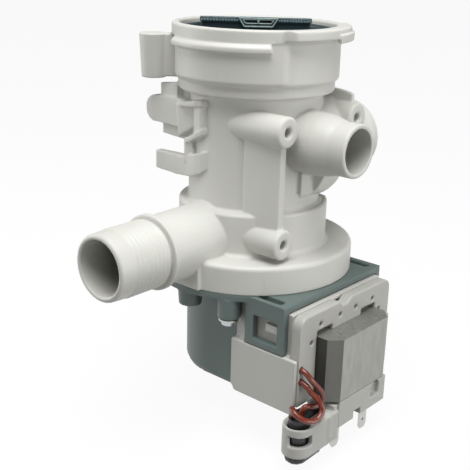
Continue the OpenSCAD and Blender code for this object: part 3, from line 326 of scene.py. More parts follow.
def lamination_steel():
    """Punched silicon steel sheets in a stack: grey with scale marks, the flanks that face along Y painted dark as
    shade, fine seams.

    Real sheets are 0.5 mm thick, and the lines are drawn at the sheet pitch so that they show.
    """
    s = bpy.context.scene.pump_motor
    made, tree, place = new_material("Stacked silicon steel, laminations")
    lines = add_node(tree, "ShaderNodeTexWave", {
        "Vector": place, "Scale": per_metre(s.sheet) * WAVE_REPEAT, "Distortion": 0.0},
        bands_direction="Z", wave_profile="SAW")
    drawn = add_node(tree, "ShaderNodeMapping", {"Vector": place, "Scale": (1, 1, 0.3)})
    scale_marks = add_node(tree, "ShaderNodeTexNoise", {
        "Vector": drawn.outputs[0], "Scale": per_metre(3 * MM), "Detail": 5.0, "Roughness": 0.65})
    tone = add_node(tree, "ShaderNodeMix", {
        "Factor": scale_marks.outputs["Fac"], "A": linear("#85857F"), "B": linear("#B9B9B4")}, data_type="RGBA")
    # Painted shade: faces that point along Y are darkened towards #545450 by their normal, and show their seams more
    # strongly, for the shade that falls on them.
    facing = add_node(tree, "ShaderNodeSeparateXYZ", {
        "Vector": add_node(tree, "ShaderNodeTexCoord").outputs["Normal"]})
    side_shade_mask = add_node(tree, "ShaderNodeMath", {0: facing.outputs["Y"]}, operation="ABSOLUTE")
    painted_side_shade = add_node(tree, "ShaderNodeMix", {
        "Factor": side_shade_mask.outputs[0], "A": tone.outputs["Result"], "B": linear("#545450")}, data_type="RGBA")
    seams = add_node(tree, "ShaderNodeMapRange", {
        "Value": lines.outputs["Fac"], "From Min": 0.0, "From Max": 0.25, "To Min": 0.6, "To Max": 1.0})
    clear = add_node(tree, "ShaderNodeMapRange", {
        "Value": side_shade_mask.outputs[0], "To Min": 0.35, "To Max": 1.0})
    lined = add_node(tree, "ShaderNodeMix", {
        "Factor": clear.outputs[0], "A": painted_side_shade.outputs["Result"], "B": seams.outputs[0]},
        data_type="RGBA", blend_type="MULTIPLY")
    relief = add_node(tree, "ShaderNodeBump", {
        "Height": lines.outputs["Fac"], "Distance": 0.05 * MM, "Strength": 0.5})
    rough = add_node(tree, "ShaderNodeMapRange", {
        "Value": scale_marks.outputs["Fac"], "To Min": 0.38, "To Max": 0.62})
    surface = add_node(tree, "ShaderNodeBsdfPrincipled", {
        "Base Color": lined.outputs["Result"], "Metallic": 0.75, "Roughness": rough.outputs[0],
        "Normal": relief.outputs[0]})
    finish_material(tree, surface)
    return made


def metal(name, colour, roughness, scratch, depth, dirt=0.1):
    """A metal skin with fine scratches of the given width, and patches where it has dulled."""
    made, tree, place = new_material(name)
    lay = add_node(tree, "ShaderNodeMapping", {"Vector": place, "Scale": (1, 1, 6)})
    scratches = add_node(tree, "ShaderNodeTexNoise", {
        "Vector": lay.outputs[0], "Scale": per_metre(scratch), "Detail": 3.0})
    patches = add_node(tree, "ShaderNodeTexNoise", {"Vector": place, "Scale": per_metre(3 * MM), "Detail": 3.0})
    tone = add_node(tree, "ShaderNodeMix", {
        "Factor": patches.outputs["Fac"], "A": shade(colour, 1 - dirt), "B": linear(colour)}, data_type="RGBA")
    rough = add_node(tree, "ShaderNodeMapRange", {
        "Value": patches.outputs["Fac"], "To Min": roughness - 0.08, "To Max": roughness + 0.1})
    relief = add_node(tree, "ShaderNodeBump", {
        "Height": scratches.outputs["Fac"], "Distance": depth, "Strength": 0.5})
    surface = add_node(tree, "ShaderNodeBsdfPrincipled", {
        "Base Color": tone.outputs["Result"], "Metallic": 1.0, "Roughness": rough.outputs[0],
        "Normal": relief.outputs[0]})
    finish_material(tree, surface)
    return made


def zinc_plate():
    """Zinc plate on steel screws: bright, with a faint blue cast."""
    return metal("Zinc-plated steel, screws", "#C4C9CF", 0.28, 0.6 * MM, 0.02 * MM)


def washer_steel():
    """Punched steel washers: bright zinc with a soft stamped edge."""
    return metal("Zinc-plated steel, washers", "#C9CCC8", 0.32, 0.7 * MM, 0.02 * MM)


def tinned_brass():
    """Hot-tinned brass blades: pale silver with a slightly uneven, wiped surface."""
    return metal("Tinned brass, terminals", "#CFCFCB", 0.3, 0.9 * MM, 0.03 * MM, dirt=0.2)


def ground_steel():
    """Centreless-ground stainless rod: fine rings round the shaft."""
    return metal("Ground stainless steel, shaft", "#BFC0C1", 0.18, 0.4 * MM, 0.01 * MM)


def sintered(name, colour, roughness):
    """Pressed and fired powder: dull, dark and finely pitted."""
    made, tree, place = new_material(name)
    grit = add_node(tree, "ShaderNodeTexVoronoi", {"Vector": place, "Scale": per_metre(0.5 * MM)})
    tone = add_node(tree, "ShaderNodeMix", {
        "Factor": grit.outputs["Distance"], "A": shade(colour, 0.8), "B": shade(colour, 1.3)}, data_type="RGBA")
    relief = add_node(tree, "ShaderNodeBump", {
        "Height": grit.outputs["Distance"], "Distance": 0.03 * MM, "Strength": 0.5})
    surface = add_node(tree, "ShaderNodeBsdfPrincipled", {
        "Base Color": tone.outputs["Result"], "Roughness": roughness, "Normal": relief.outputs[0]})
    finish_material(tree, surface)
    return made


def ferrite():
    """Sintered ferrite of the magnet: charcoal grey and dull."""
    return sintered("Sintered ferrite, magnet", "#3B3B3D", 0.6)


def pressed_carbon():
    """Pressed carbon bushes: near black with a graphite sheen."""
    return sintered("Pressed carbon, bushes", "#2C2A29", 0.4)


def enamelled_wire():
    """Enamelled copper wire wound in layers: one glossy ridge for each turn.

    Real wire is about 0.2 mm thick, and the turns are drawn 0.5 mm apart so that they show.
    """
    made, tree, place = new_material("Enamelled copper wire, windings")
    turns = add_node(tree, "ShaderNodeTexWave", {
        "Vector": place, "Scale": per_metre(0.5 * MM) * WAVE_REPEAT, "Distortion": 0.3}, bands_direction="X")
    tone = add_node(tree, "ShaderNodeMix", {
        "Factor": turns.outputs["Fac"], "A": linear("#5A2612"), "B": linear("#B4632F")}, data_type="RGBA")
    relief = add_node(tree, "ShaderNodeBump", {
        "Height": turns.outputs["Fac"], "Distance": 0.2 * MM, "Strength": 0.9})
    surface = add_node(tree, "ShaderNodeBsdfPrincipled", {
        "Base Color": tone.outputs["Result"], "Metallic": 0.7, "Roughness": 0.3, "Normal": relief.outputs[0],
        "Coat Weight": 0.4})
    finish_material(tree, surface)
    return made


def dress(node, material):
    """Gives a CAD node its finish."""
    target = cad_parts[node]
    target.data.materials.clear()
    target.data.materials.append(material)
    for face in target.data.polygons:
        face.material_index = 0


def link(name, mesh, material):
    """A new object in the scene with this mesh and finish."""
    made = bpy.data.objects.new(name, mesh)
    bpy.context.scene.collection.objects.link(made)
    made.data.materials.clear()
    made.data.materials.append(material)
    return made


def settle(piece):
    """Applies the piece's modifiers to its mesh."""
    seen = piece.evaluated_get(bpy.context.evaluated_depsgraph_get())
    mesh = bpy.data.meshes.new_from_object(seen)
    piece.modifiers.clear()
    piece.data = mesh


def welded_copy(node):
    """A copy of a node's mesh whose faces share their corners."""
    work = bmesh.new()
    work.from_mesh(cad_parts[node].data)
    bmesh.ops.remove_doubles(work, verts=work.verts, dist=0.002 * MM)
    return work


def softened(node, name, material, voxel, rounds, most_faces, cut=None, carve=(), extra=()):
    """A moulding whose sharp edges and inner corners are rounded as its mould tool rounds them.

    The node's mesh is skinned in cells of voxel size and smoothed for some rounds. Cut is a
    (point, direction) pair: what lies past it is left out, for a piece that takes its place.
    Carve names solids that are taken away, and extra names solids that are moulded on.
    """
    work = welded_copy(node)
    if cut:
        kept = bmesh.ops.bisect_plane(
            work, geom=[*work.verts, *work.edges, *work.faces], plane_co=cut[0], plane_no=cut[1], clear_outer=True)
        rim = [e for e in kept["geom_cut"] if isinstance(e, bmesh.types.BMEdge)]
        bmesh.ops.triangle_fill(work, edges=rim, use_beauty=True)
    mesh = bpy.data.meshes.new(name)
    work.to_mesh(mesh)
    piece = link(name, mesh, material)
    for solid in carve:
        bite = piece.modifiers.new("bite", "BOOLEAN")
        bite.operation, bite.solver, bite.object = "DIFFERENCE", "EXACT", solid
        settle(piece)
    work.clear()
    for part in (piece, *extra):
        work.from_mesh(part.data)
    work.to_mesh(piece.data)
    work.free()
    for solid in (*carve, *extra):
        bpy.data.objects.remove(solid)
    skin = piece.modifiers.new("skin", "REMESH")
    skin.mode = "VOXEL"
    skin.voxel_size = voxel
    soften = piece.modifiers.new("soften", "SMOOTH")
    soften.factor = 0.5
    soften.iterations = rounds
    settle(piece)
    faces = 2 * len(piece.data.polygons)
    if faces > most_faces:
        thin = piece.modifiers.new("thin", "DECIMATE")
        thin.ratio = most_faces / faces
        settle(piece)
    for face in piece.data.polygons:
        face.use_smooth = True
    piece.data.materials.clear()
    piece.data.materials.append(material)
    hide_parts(node)
    return piece


def cut_corners(line, rounds):
    """The line with each corner cut a quarter of the way along its sides, for some rounds."""
    for _ in range(rounds):
        cut = [line[0]]
        for a, b in zip(line, line[1:]):
            cut += [a.lerp(b, 0.25), a.lerp(b, 0.75)]
        line = [*cut, line[-1]]
    return line


def loft(name, rings, material, closed=False):
    """A smooth solid skinned over rings of points: a closed loop of rings, or a row with its ends capped."""
    work = bmesh.new()
    rows = [[work.verts.new(p) for p in ring] for ring in rings]
    sides = len(rows[0])
    for low, high in zip(rows, rows[1:] + rows[:closed]):
        for k in range(sides):
            work.faces.new((low[k], low[(k + 1) % sides], high[(k + 1) % sides], high[k]))
    if not closed:
        work.faces.new(reversed(rows[0]))
        work.faces.new(rows[-1])
    bmesh.ops.recalc_face_normals(work, faces=work.faces)
    mesh = bpy.data.meshes.new(name)
    work.to_mesh(mesh)
    work.free()
    for face in mesh.polygons:
        face.use_smooth = True
    return link(name, mesh, material)


def circle(centre, radius, side, other, sides):
    """Points round a circle that lies along two directions."""
    turns = (2 * math.pi * k / sides for k in range(sides))
    return [centre + radius * (math.cos(a) * side + math.sin(a) * other) for a in turns]


def tube(name, route, radius, material, sides=24, rounds=4, closed=False):
    """A round sleeve along a smooth curve that follows the route's points, in millimetres.

    A closed route starts and ends at one point, in the middle of a straight stretch.
    """
    line = cut_corners([Vector(p) * MM for p in route], rounds)
    if closed:
        line.pop()
    rings, side, last = [], Vector((0.3, 1, 0.1)), len(line) - 1
    for i, centre in enumerate(line):
        ahead = line[(i + 1) % len(line)] if closed else line[min(i + 1, last)]
        behind = line[i - 1] if closed or i else line[0]
        along = (ahead - behind).normalized()
        side = (side - along * side.dot(along)).normalized()
        rings.append(circle(centre, radius, side, along.cross(side), sides))
    return loft(name, rings, material, closed)


def lathe(name, profile, origin, along, material, sides=144):
    """A ring: the closed profile of (radius, distance) pairs turned about a line through the origin."""
    side = along.orthogonal().normalized()
    rings = [circle(origin + along * d, r, side, along.cross(side), sides) for r, d in profile]
    return loft(name, rings, material, closed=True)


def oblong(inner, outer, low, high):
    """A four-cornered outline as (radius, height) pairs."""
    return (inner, low), (outer, low), (outer, high), (inner, high)


class DRAINPUMP_OT_casing(Operator):
    """Make the pump casing with its rounded edges and ribbed outlet"""

    bl_idname = "drain_pump.casing"
    bl_label = "Pump casing"

    OUTLET_X, OUTLET_Z = -3 * MM, -100 * MM
    OUTLET_R, BORE_R = 15.6 * MM, 13 * MM
    BEAD_FACE, NOSE_CUT, TIP = 69.2 * MM, 70.3 * MM, 99 * MM
    GROOVE = 0.6 * MM
    RIBS = 8
    # One hose rib, as shares of its pitch and its height: steep towards the bead, easy towards the tip.
    RIB_FORM = ((0.0, 0.0), (0.1, 0.2), (0.2, 0.65), (0.3, 0.95), (0.42, 1.0), (0.58, 0.8), (0.75, 0.4), (0.9, 0.1))

    # The lengths from here to the end of this block are in millimetres, and the angles in degrees.
    # The clip's bands: thickness, and rows of angle, outer radius, lowest and highest z.
    CLIP_BANDS = {
        "strap": (3.5, ((-136, 43.6, -73.6, -63.9), (-127, 38.6, -73.6, -63.8), (-119, 36.1, -73.2, -63.2),
                        (-111, 35.2, -72.4, -61.6), (-104, 34.9, -71, -60.2), (-98, 34.2, -69.2, -59.2),
                        (-93, 33.2, -67, -58.4), (-88, 31.6, -65.5, -58.2))),
        "upright": (4, ((-108, 33, -50, -36), (-106, 35.2, -50, -35.5), (-98, 35.2, -49, -35),
                        (-95, 34.6, -48, -34.8), (-94, 31.6, -47.5, -35))),
        "flange": (7, ((-128, 38.5, -39.6, -37.4), (-115, 37.2, -38.8, -36.2), (-103, 36.4, -37.6, -34.6),
                       (-95, 35.4, -36.8, -33.8), (-92, 32, -36.5, -34))),
        "hook": (5, ((-120, 36.4, -57, -54.2), (-112, 36.2, -55.6, -52.8), (-102, 36, -52.6, -49.8),
                     (-95, 35.2, -50.4, -47.6), (-92, 31.8, -49.8, -47.4))),
    }
    WEB_OUTLINE, WEB_X = ((-27.2, -38), (-24.4, -38), (-24.4, -29.6), (-27.2, -29.6)), (-31, -19)
    # Where the rim's thick sector begins and where the mouth's thick wall ends, as angle and outer radius.
    RIM_EASE = ((-35.5, 41.25), (-34, 41.4), (-32.5, 41.9), (-31, 42.7), (-29.5, 43.6), (-28, 44.3), (-26.5, 44.8))
    WALL_EASE = ((-34.5, 40.7), (-33.2, 40.7), (-32.4, 40.64), (-31.6, 40.48), (-30.8, 40.25), (-30, 40.02),
                 (-29.2, 39.86), (-28.4, 39.74))
    WALL_INNER, WALL_LOW, WALL_TOP = 38.8, -23.6, -5.8
    LEDGE_TOP, LEDGE_SLOPE = -7.3, ((39.8, -6.2), (41.2, -6), (42.6, -7.2), (42.6, -7.8), (39.8, -7.8))
    LEDGE_REACH, RIM_REACH = 44.6, 46
    INLET_X, INLET_Z = 16, -60
    RELIEF_R, RELIEF_NEAR, RELIEF_FAR = (18.9, 27.5), 20, 40
    BODY_R, BODY_CLEAR = 32.6, 0.4

    def execute(self, context):
        s = context.scene.pump_casing
        material = casing_polypropylene()
        dress("pump_casing", material)
        body = softened("pump_casing", "casing_body", material, s.voxel, s.rounds, 190000,
                        cut=(Vector((0, -self.NOSE_CUT, 0)), OUTLET_WAY),
                        carve=[self.drum_relief(material), self.bead_groove(material), *self.mouth_cuts(material)],
                        extra=[*self.clip_bands(material), self.clip_web(material), *self.mouth_slopes(material)])
        nose = lathe("casing_nose", self.nose_profile(s), self.outlet_axis(), OUTLET_WAY, material)
        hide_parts("pump_casing")
        for piece in (body, nose):
            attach(piece, "pump")
        return {"FINISHED"}

    def outlet_axis(self):
        """The point where the outlet's axis meets the plane through the pump's axis."""
        return Vector((self.OUTLET_X, 0, self.OUTLET_Z))

    @staticmethod
    def turned(forms, material):
        """Solids that run round the pump's axis, each with rows of an angle and the (radius, z) outline there."""
        for name, rows in forms.items():
            rings = [[Vector((r * math.cos(math.radians(angle)), r * math.sin(math.radians(angle)), z)) * MM
                      for r, z in outline] for angle, outline in rows]
            yield loft(name, rings, material)

    def clip_bands(self, material):
        """The hose clip's arms where they run onto the body."""
        forms = {}
        for name, (thick, rows) in self.CLIP_BANDS.items():
            forms[name] = [(angle, oblong(radius - thick, radius, low, high)) for angle, radius, low, high in rows]
        return self.turned(forms, material)

    def clip_web(self, material):
        """The web that closes the clip's upper arm against the body."""
        rings = [[Vector((x, y, z)) * MM for y, z in self.WEB_OUTLINE] for x in self.WEB_X]
        return loft("clip_web", rings, material)

    def mouth_cuts(self, material):
        """What comes off the mouth: the knob on and past its ledge, and the sharp start of its rim's thick sector."""
        reach = self.LEDGE_REACH
        return self.turned({
            "over_ledge": [(angle, oblong(41.25, reach, self.LEDGE_TOP, -5)) for angle in (-46, -41)],
            "past_ledge": [(angle, oblong(40.72, reach, -11, -5.75)) for angle in (-41.4, -36.5)],
            "before_rim": [(angle, oblong(radius, self.RIM_REACH, -7, 0.5)) for angle, radius in self.RIM_EASE],
        }, material)

    def mouth_slopes(self, material):
        """The slope on the ledge round the mouth, and the one in which the mouth's thick wall runs out."""
        inner, low, top = self.WALL_INNER, self.WALL_LOW, self.WALL_TOP
        return self.turned({
            "ledge_slope": [(angle, self.LEDGE_SLOPE) for angle in range(-120, -41, 3)],
            "wall_slope": [(angle, ((inner, low), (radius - 0.9, low - 1.0), (radius, low), (radius, top),
                                    (inner, top))) for angle, radius in self.WALL_EASE],
        }, material)

    def drum_relief(self, material):
        """What the inlet's drum lacks at its underside, up to the body's wall, where it narrows to the hose port."""
        rings, (inner, outer) = [], self.RELIEF_R
        for angle in range(-175, -4, 10):
            a = math.radians(angle)
            ring = []
            for r, outside in ((inner, False), (outer, False), (outer, True), (inner, True)):
                x = self.INLET_X + r * math.cos(a)
                wall = math.sqrt(max((self.BODY_R + self.BODY_CLEAR) ** 2 - x * x, 0))
                y = self.RELIEF_FAR if outside else min(max(wall, self.RELIEF_NEAR), self.RELIEF_FAR - 1)
                ring.append(Vector((x, y, self.INLET_Z + r * math.sin(a))) * MM)
            rings.append(ring)
        return loft("drum_relief", rings, material)

    def bead_groove(self, material):
        """What is taken off before the first rib, so that the hose bead's face throws its thin shadow."""
        outline = oblong(self.OUTLET_R - 0.75 * MM, self.OUTLET_R + 1.2 * MM,
                         self.BEAD_FACE + 0.03 * MM, self.NOSE_CUT + 0.5 * MM)
        return lathe("bead_groove", outline, self.outlet_axis(), OUTLET_WAY, material)

    def nose_profile(self, s):
        """Ribs, plain nose, rounded lip and bore of the drain outlet, as (radius, distance) pairs."""
        valley = self.OUTLET_R - 0.05 * MM
        profile = [(valley - self.GROOVE, self.BEAD_FACE), (valley - self.GROOVE, self.BEAD_FACE + 0.7 * MM),
                   (valley - 0.05 * MM, self.BEAD_FACE + 0.95 * MM)]
        start = self.BEAD_FACE + 1.0 * MM
        for rib in range(self.RIBS):
            for share, height in self.RIB_FORM:
                profile.append((valley + height * s.rib_height, start + (rib + share) * s.rib_pitch))
        end = start + self.RIBS * s.rib_pitch
        profile += [(valley, end), (valley + 0.25 * MM, end + 0.8 * MM), (valley + 0.3 * MM, end + 2 * MM),
                    (valley + 0.2 * MM, end + 4.5 * MM)]
        lip, thick = 1.7 * MM, (self.OUTLET_R - self.BORE_R)
        for step in range(8):
            a = math.radians(5 + step * 85 / 7)
            profile.append((self.OUTLET_R - lip + lip * math.cos(a), self.TIP - lip + lip * math.sin(a)))
        inner = thick - lip
        for step in range(1, 5):
            a = math.radians(step * 90 / 4)
            profile.append((self.BORE_R + inner - inner * math.sin(a), self.TIP - inner + inner * math.cos(a)))
        return [*profile, (self.BORE_R - 0.03 * MM, self.BEAD_FACE)]


class DRAINPUMP_OT_filter(Operator):
    """Make the filter plug, its basket and its seal"""

    bl_idname = "drain_pump.filter"
    bl_label = "Filter"

    # All in millimetres: the bead that stands on the plug's rim, as radius and height, then the grip bar's
    # toothed bands, as heights and as stretches along the bar, and the ridges on its frame, seen from the front.
    RIM = ((34.0, -4.6), (36.4, -4.6), (36.75, -2.7), (36.3, -2.25), (34.5, -2.25), (34.0, -2.7))
    BAND_TOP, BAND_LOW = 2.1, 0.1
    STRETCHES = ((-27.6, -9.0), (9.0, 25.2))
    TOOTH_STEPS = 8
    FRAME_FACE = 3.35
    OUTER_RIDGE = ((0, 1.85), (9.1, 1.85), (6.7, -1.95), (-6.7, -1.95), (-9.1, 1.85), (0, 1.85))
    INNER_RIDGE = ((0, 1.3), (7.4, 1.3), (6.0, -0.5), (-6.0, -0.5), (-7.4, 1.3), (0, 1.3))
    GRIP_ANGLE = math.radians(41)

    def execute(self, context):
        material = filter_polypropylene()
        for node in ("filter_plug", "filter_basket"):
            dress(node, material)
        dress("filter_seal", seal_rubber())
        rim = lathe("plug_rim", [(r * MM, z * MM) for r, z in self.RIM], Vector(), UP, material)
        plug = softened("filter_plug", "plug_body", material, FINE_SKIN, 2, 90000, extra=[rim])
        pieces = [plug, *self.serrations(context.scene.pump_filter.serration), *self.frames()]
        for piece in pieces:
            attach(piece, "filter_plug")
        return {"FINISHED"}

    def at(self, u, v, z):
        """A point given along the grip bar, across it and up, in millimetres."""
        c, s = math.cos(self.GRIP_ANGLE), math.sin(self.GRIP_ANGLE)
        return Vector((c * u - s * v, s * u + c * v, z))

    def serrations(self, pitch):
        """The toothed bands along the top of the grip bar, on both sides of its frame."""
        # Painted highlight: the teeth are coloured paler than the plug to stand for the top band catching light.
        material = highlight_painted_polypropylene("Moulded polypropylene, grip teeth", "#4B6165")
        for number, (start, end) in enumerate(self.STRETCHES):
            steps = round((end - start) * MM / pitch) * self.TOOTH_STEPS
            rings = []
            for i in range(steps + 1):
                u = start + (end - start) * i / steps
                tooth = 0.5 - 0.5 * math.cos(2 * math.pi * i / self.TOOTH_STEPS)
                # The band narrows over half a tooth at each end.
                near = min(i, steps - i) / (self.TOOTH_STEPS / 2)
                shut = min(1, 0.55 + 0.45 * near)
                wide, low = (2.25 + 0.5 * tooth) * shut, (2.05 - 0.25 * tooth) * shut
                half = [(wide, self.BAND_LOW), (wide, 0.75), (low, 1.75), (low - 0.35, self.BAND_TOP)]
                section = half + [(-v, z) for v, z in reversed(half)]
                rings.append([self.at(u, v, z) * MM for v, z in section])
            yield loft(f"grip_teeth_{number + 1}", rings, material)

    @staticmethod
    def crisp(path, reach=0.8):
        """The closed path with a point on each side of every corner, so that its corners stay sharp."""
        line = [path[0]]
        for before, corner, after in zip(path, path[1:], path[2:]):
            for other in (before, after):
                share = reach / math.dist(other, corner)
                line.append(tuple(c + (o - c) * share for c, o in zip(corner, other)))
                if other is before:
                    line.append(corner)
        return [*line, path[-1]]

    def frames(self):
        """The ridges round the trapezoid and its two slots, and the stud between the slots, on both faces."""
        # Painted highlight: the frame's ridges are coloured pale grey-green to stand for their edges catching light.
        material = highlight_painted_polypropylene("Moulded polypropylene, grip frame", "#8C9F9C")
        for face, v in (("front", -self.FRAME_FACE), ("rear", self.FRAME_FACE)):
            for name, path, radius in (("outer", self.OUTER_RIDGE, 0.38), ("inner", self.INNER_RIDGE, 0.3)):
                yield tube(f"grip_{name}_{face}", [self.at(u, v, z) for u, z in self.crisp(path)], radius * MM,
                           material, sides=12, rounds=2, closed=True)
            yield tube(f"grip_stud_{face}", [self.at(0, v, 1.4), self.at(0, v * 1.05, 0.6), self.at(0, v, -0.6)],
                       0.55 * MM, material, sides=12, rounds=2)


class DRAINPUMP_OT_rotor(Operator):
    """Finish the impeller, the rotor and the bushes that carry it"""

    bl_idname = "drain_pump.rotor"
    bl_label = "Rotor and impeller"

    def execute(self, context):
        finishes = {
            "impeller": impeller_polypropylene(), "drive_dog": acetal(), "rotor_shaft": ground_steel(),
            "rotor_magnet": ferrite(), "thrust_washer": washer_steel(), "front_bush_holder": holder_polyamide()}
        for node, material in finishes.items():
            dress(node, material)
        rubber, carbon = seal_rubber(), pressed_carbon()
        for node in ("shaft_seal", "rear_bush_cushion", "carrier_seal"):
            dress(node, rubber)
        for node in ("front_bush", "rear_bush"):
            dress(node, carbon)
        return {"FINISHED"}


class DRAINPUMP_OT_motor(Operator):
    """Make the motor carrier, the coil housing, the bobbin and the laminations"""

    bl_idname = "drain_pump.motor"
    bl_label = "Motor"

    # Places of the dimples on the yoke's top, and half a dimple as radius and height, all in millimetres.
    INTERLOCKS = ((67.6, -12.5), (67.6, 12.5))
    DIMPLE = ((0.35, -0.3), (1.55, -0.3), (1.75, 0.02), (1.6, 0.16), (1.3, 0.18), (1.0, 0.05), (0.35, 0.02))

    def execute(self, context):
        wanted = (
            ("motor_carrier", "carrier_body", carrier_polyamide(), 120000, "carrier_moulding"),
            ("coil_housing", "housing_body", housing_polyester(), 90000, "housing_moulding"),
            ("coil_bobbin", "bobbin_body", bobbin_polyamide(), 90000, "bobbin_moulding"))
        for node, name, material, faces, slot in wanted:
            dress(node, material)
            piece = softened(node, name, material, PLAIN_SKIN, 3, faces)
            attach(piece, "pump")
        steel = lamination_steel()
        dress("stator_core", steel)
        for piece in self.interlocks(steel):
            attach(piece, "pump")
        wire = enamelled_wire()
        for node in ("front_winding", "rear_winding"):
            dress(node, wire)
        dress("carrier_screws", zinc_plate())
        dress("carrier_washers", washer_steel())
        return {"FINISHED"}

    def interlocks(self, steel):
        """The pressed dimples that lock the sheets together, each with its raised lip, on top of the yoke."""
        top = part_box("stator_core")[1][2]
        for number, (x, y) in enumerate(self.INTERLOCKS):
            yield lathe(f"interlock_{number + 1}", [(r * MM, d * MM) for r, d in self.DIMPLE],
                        Vector((x * MM, y * MM, top)), UP, steel, sides=32)


class DRAINPUMP_OT_electrical(Operator):
    """Make the terminals, the protector with its clip, and the two leads"""

    bl_idname = "drain_pump.electrical"
    bl_label = "Terminals and leads"

    # The leads' routes, as in the part's source, the protector's place, and the radii of the sleeve's gathered
    # end at their heights, all in millimetres.
    UPPER = ((58.8, -35, -149.4), (64, -35, -149.4), (67.4, -33.8, -153.6), (69.4, -28.4, -160),
             (69, -26.9, -165.4), (68.4, -32.6, -166.8), (66.6, -37.8, -164.8), (65.4, -38.3, -168.4),
             (65.4, -38.3, -171.6))
    LOWER = ((58.8, -35, -155.4), (64, -35, -155.4), (67.4, -35, -158.4), (71.8, -33.6, -161.6),
             (74.2, -33.2, -166), (74, -38.6, -169.6), (71.4, -44.6, -167.8), (66.8, -46, -165),
             (63.5, -43.6, -164.2), (63.9, -42.9, -168.2), (63.9, -42.9, -171.6))

    PROTECTOR_X, PROTECTOR_Y, PROTECTOR_FAR_Y = 65.9, -41.8, -31.6
    SLEEVE_END = ((-187, 4.2), (-188.2, 5.0), (-189.5, 5.3), (-190.6, 5.0), (-191.6, 4.0), (-192.1, 2.4))
    SLEEVE_SIDES = 40

    def sleeve_end(self):
        """The shrunk sleeve's gathered lower end, which hangs below the holder."""
        rings = []
        for z, radius in self.SLEEVE_END:
            ring = []
            for k in range(self.SLEEVE_SIDES):
                a = 2 * math.pi * k / self.SLEEVE_SIDES
                far = self.PROTECTOR_FAR_Y if k <= self.SLEEVE_SIDES / 2 else self.PROTECTOR_Y
                pucker = 1 + 0.035 * math.sin(11 * a + z) + 0.02 * math.sin(17 * a - 2 * z)
                ring.append(Vector((self.PROTECTOR_X + radius * pucker * math.cos(a),
                                    far + radius * pucker * math.sin(a), z)) * MM)
            rings.append(ring)
        return loft("sleeve_end", rings, protector_sleeve())

    def execute(self, context):
        s = context.scene.pump_leads
        brass = tinned_brass()
        for node in ("front_terminal", "rear_terminal"):
            dress(node, brass)
        dress("thermal_protector", protector_sleeve())
        white = bobbin_polyamide()
        dress("protector_clip", white)
        clip = softened("protector_clip", "clip_body", white, FINE_SKIN, 3, 60000)
        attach(clip, "pump")
        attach(self.sleeve_end(), "pump")
        sleeve = lead_sleeving()
        for name, node, route in (("upper_sleeve", "upper_lead", self.UPPER),
                                  ("lower_sleeve", "lower_lead", self.LOWER)):
            dress(node, sleeve)
            piece = tube(name, route, s.radius, sleeve)
            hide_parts(node)
            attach(piece, "pump")
        return {"FINISHED"}


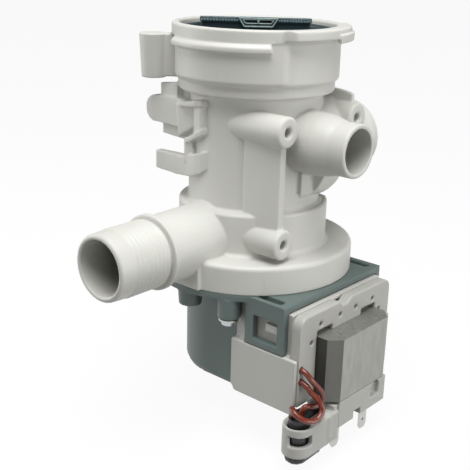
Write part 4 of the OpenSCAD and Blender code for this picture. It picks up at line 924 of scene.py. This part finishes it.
class DRAINPUMP_OT_stage(Operator):
    """Set the floor, the lamps, the room and the camera"""

    bl_idname = "drain_pump.stage"
    bl_label = "Stage"

    # The floor's colour for the camera, and the greyer one that lights the pump from below.
    PAPER, BOUNCE, PAPER_GLOW = "#F4F4F2", "#8E8E8C", 0.93
    # Each lamp's place from the pump's middle, in metres, and its size.
    LAMPS = {"key": ((0.15, -0.18, 0.8), 0.6), "left": ((-0.75, -0.4, 0.12), 0.6), "right": ((0.88, 0.22, 0.0), 0.6)}
    # The eye is in millimetres, and the view's angles in degrees.
    EYE = (272.2, -323.9, 36.4)
    AZIMUTH, ELEVATION, ROLL = 41.21, 18.77, 1.42
    LENS_IN_PIXELS, PICTURE = 866, 470

    def execute(self, context):
        self.floor()
        self.room(context)
        self.lamps(context)
        self.camera(context)
        context.scene.view_settings.view_transform = "Standard"
        return {"FINISHED"}

    def floor(self):
        """A white paper floor that reads as white and keeps the pump's soft shadow."""
        made, tree, _ = new_material("White paper, floor")
        rays = add_node(tree, "ShaderNodeLightPath")
        tone = add_node(tree, "ShaderNodeMix", {
            "Factor": rays.outputs["Is Camera Ray"], "A": linear(self.BOUNCE), "B": linear(self.PAPER)},
            data_type="RGBA")
        paper = add_node(tree, "ShaderNodeBsdfDiffuse", {"Color": tone.outputs["Result"]})
        bright = add_node(tree, "ShaderNodeEmission", {"Color": (1, 1, 1, 1), "Strength": 1.0})
        seen = add_node(tree, "ShaderNodeMath", {
            0: rays.outputs["Is Camera Ray"], 1: rays.outputs["Is Glossy Ray"]}, operation="MAXIMUM")
        share = add_node(tree, "ShaderNodeMath", {0: seen.outputs[0], 1: self.PAPER_GLOW}, operation="MULTIPLY")
        mixed = add_node(tree, "ShaderNodeMixShader", {"Fac": share.outputs[0], 1: paper.outputs[0],
                                                       2: bright.outputs[0]})
        finish_material(tree, mixed)
        mesh = bpy.data.meshes.new("floor")
        half, z = 4.0, cad_low.z - 0.2 * MM
        mesh.from_pydata([(-half, -half, z), (half, -half, z), (half, half, z), (-half, half, z)], [],
                         [(0, 1, 2, 3)])
        link("floor", mesh, made)

    def room(self, context):
        """Even light from all round, which shows as white in the picture."""
        world = bpy.data.worlds.new("Room")
        context.scene.world = world
        world.use_nodes = True
        tree = world.node_tree
        tree.nodes.clear()
        rays = add_node(tree, "ShaderNodeLightPath")
        seen = add_node(tree, "ShaderNodeMath", {
            0: rays.outputs["Is Camera Ray"], 1: rays.outputs["Is Transmission Ray"]}, operation="MAXIMUM")
        level = add_node(tree, "ShaderNodeMapRange", {
            "Value": seen.outputs[0], "To Min": context.scene.pump_stage.sky, "To Max": 1.0})
        sky = add_node(tree, "ShaderNodeBackground", {"Color": (1, 1, 1, 1), "Strength": level.outputs[0]})
        add_node(tree, "ShaderNodeOutputWorld", {"Surface": sky.outputs[0]})

    def lamps(self, context):
        """A large soft lamp above and in front of the pump, and a weaker one on each side."""
        s = context.scene.pump_stage
        middle = (cad_low + cad_high) / 2
        for name, (spot, size) in self.LAMPS.items():
            lamp = bpy.data.lights.new(name, "AREA")
            lamp.size, lamp.energy = size, getattr(s, name)
            made = bpy.data.objects.new(name, lamp)
            context.scene.collection.objects.link(made)
            made.location = middle + Vector(spot)
            made.rotation_mode = "QUATERNION"
            made.rotation_quaternion = Vector(spot).to_track_quat("Z", "Y")

    def camera(self, context):
        """The view of the reference: its angle, distance and roll."""
        a, e, r = (math.radians(v) for v in (self.AZIMUTH, self.ELEVATION, self.ROLL))
        back = Vector((math.sin(a) * math.cos(e), -math.cos(a) * math.cos(e), math.sin(e)))
        right = Vector((math.cos(a), math.sin(a), 0))
        up = back.cross(right)
        rolled = math.cos(r) * right + math.sin(r) * up, math.cos(r) * up - math.sin(r) * right, back
        lens = bpy.data.cameras.new("view")
        lens.lens = lens.sensor_width * self.LENS_IN_PIXELS / self.PICTURE
        lens.clip_start, lens.clip_end = 0.01, 20
        made = bpy.data.objects.new("view", lens)
        made.matrix_world = Matrix.Translation(Vector(self.EYE) * MM) @ Matrix(rolled).transposed().to_4x4()
        context.scene.collection.objects.link(made)
        context.scene.camera = made


class DRAINPUMP_PT_panel(Panel):
    """Sizes, colours and steps of the drain pump"""

    bl_label = "Drain pump"
    bl_idname = "DRAINPUMP_PT_panel"
    bl_space_type = "VIEW_3D"
    bl_region_type = "UI"
    bl_category = "Drain pump"

    def draw(self, context):
        for group in SETTINGS:
            values = getattr(context.scene, group)
            box = self.layout.box()
            for key in type(values).__annotations__:
                box.prop(values, key)
        for step in STEPS:
            self.layout.operator(step.bl_idname)


SETTINGS = {
    "pump_casing": CasingSettings,
    "pump_filter": FilterSettings,
    "pump_motor": MotorSettings,
    "pump_leads": LeadSettings,
    "pump_stage": StageSettings,
}
STEPS = (DRAINPUMP_OT_stage, DRAINPUMP_OT_casing, DRAINPUMP_OT_filter, DRAINPUMP_OT_rotor,
         DRAINPUMP_OT_motor, DRAINPUMP_OT_electrical)
CLASSES = (*SETTINGS.values(), *STEPS, DRAINPUMP_PT_panel)


def register():
    for made in CLASSES:
        bpy.utils.register_class(made)
    for name, group in SETTINGS.items():
        setattr(bpy.types.Scene, name, PointerProperty(type=group))


def unregister():
    for name in SETTINGS:
        delattr(bpy.types.Scene, name)
    for made in reversed(CLASSES):
        bpy.utils.unregister_class(made)


def main():
    register()
    for step in STEPS:
        group, name = step.bl_idname.split(".")
        getattr(getattr(bpy.ops, group), name)()


if __name__ == "__main__":
    main()
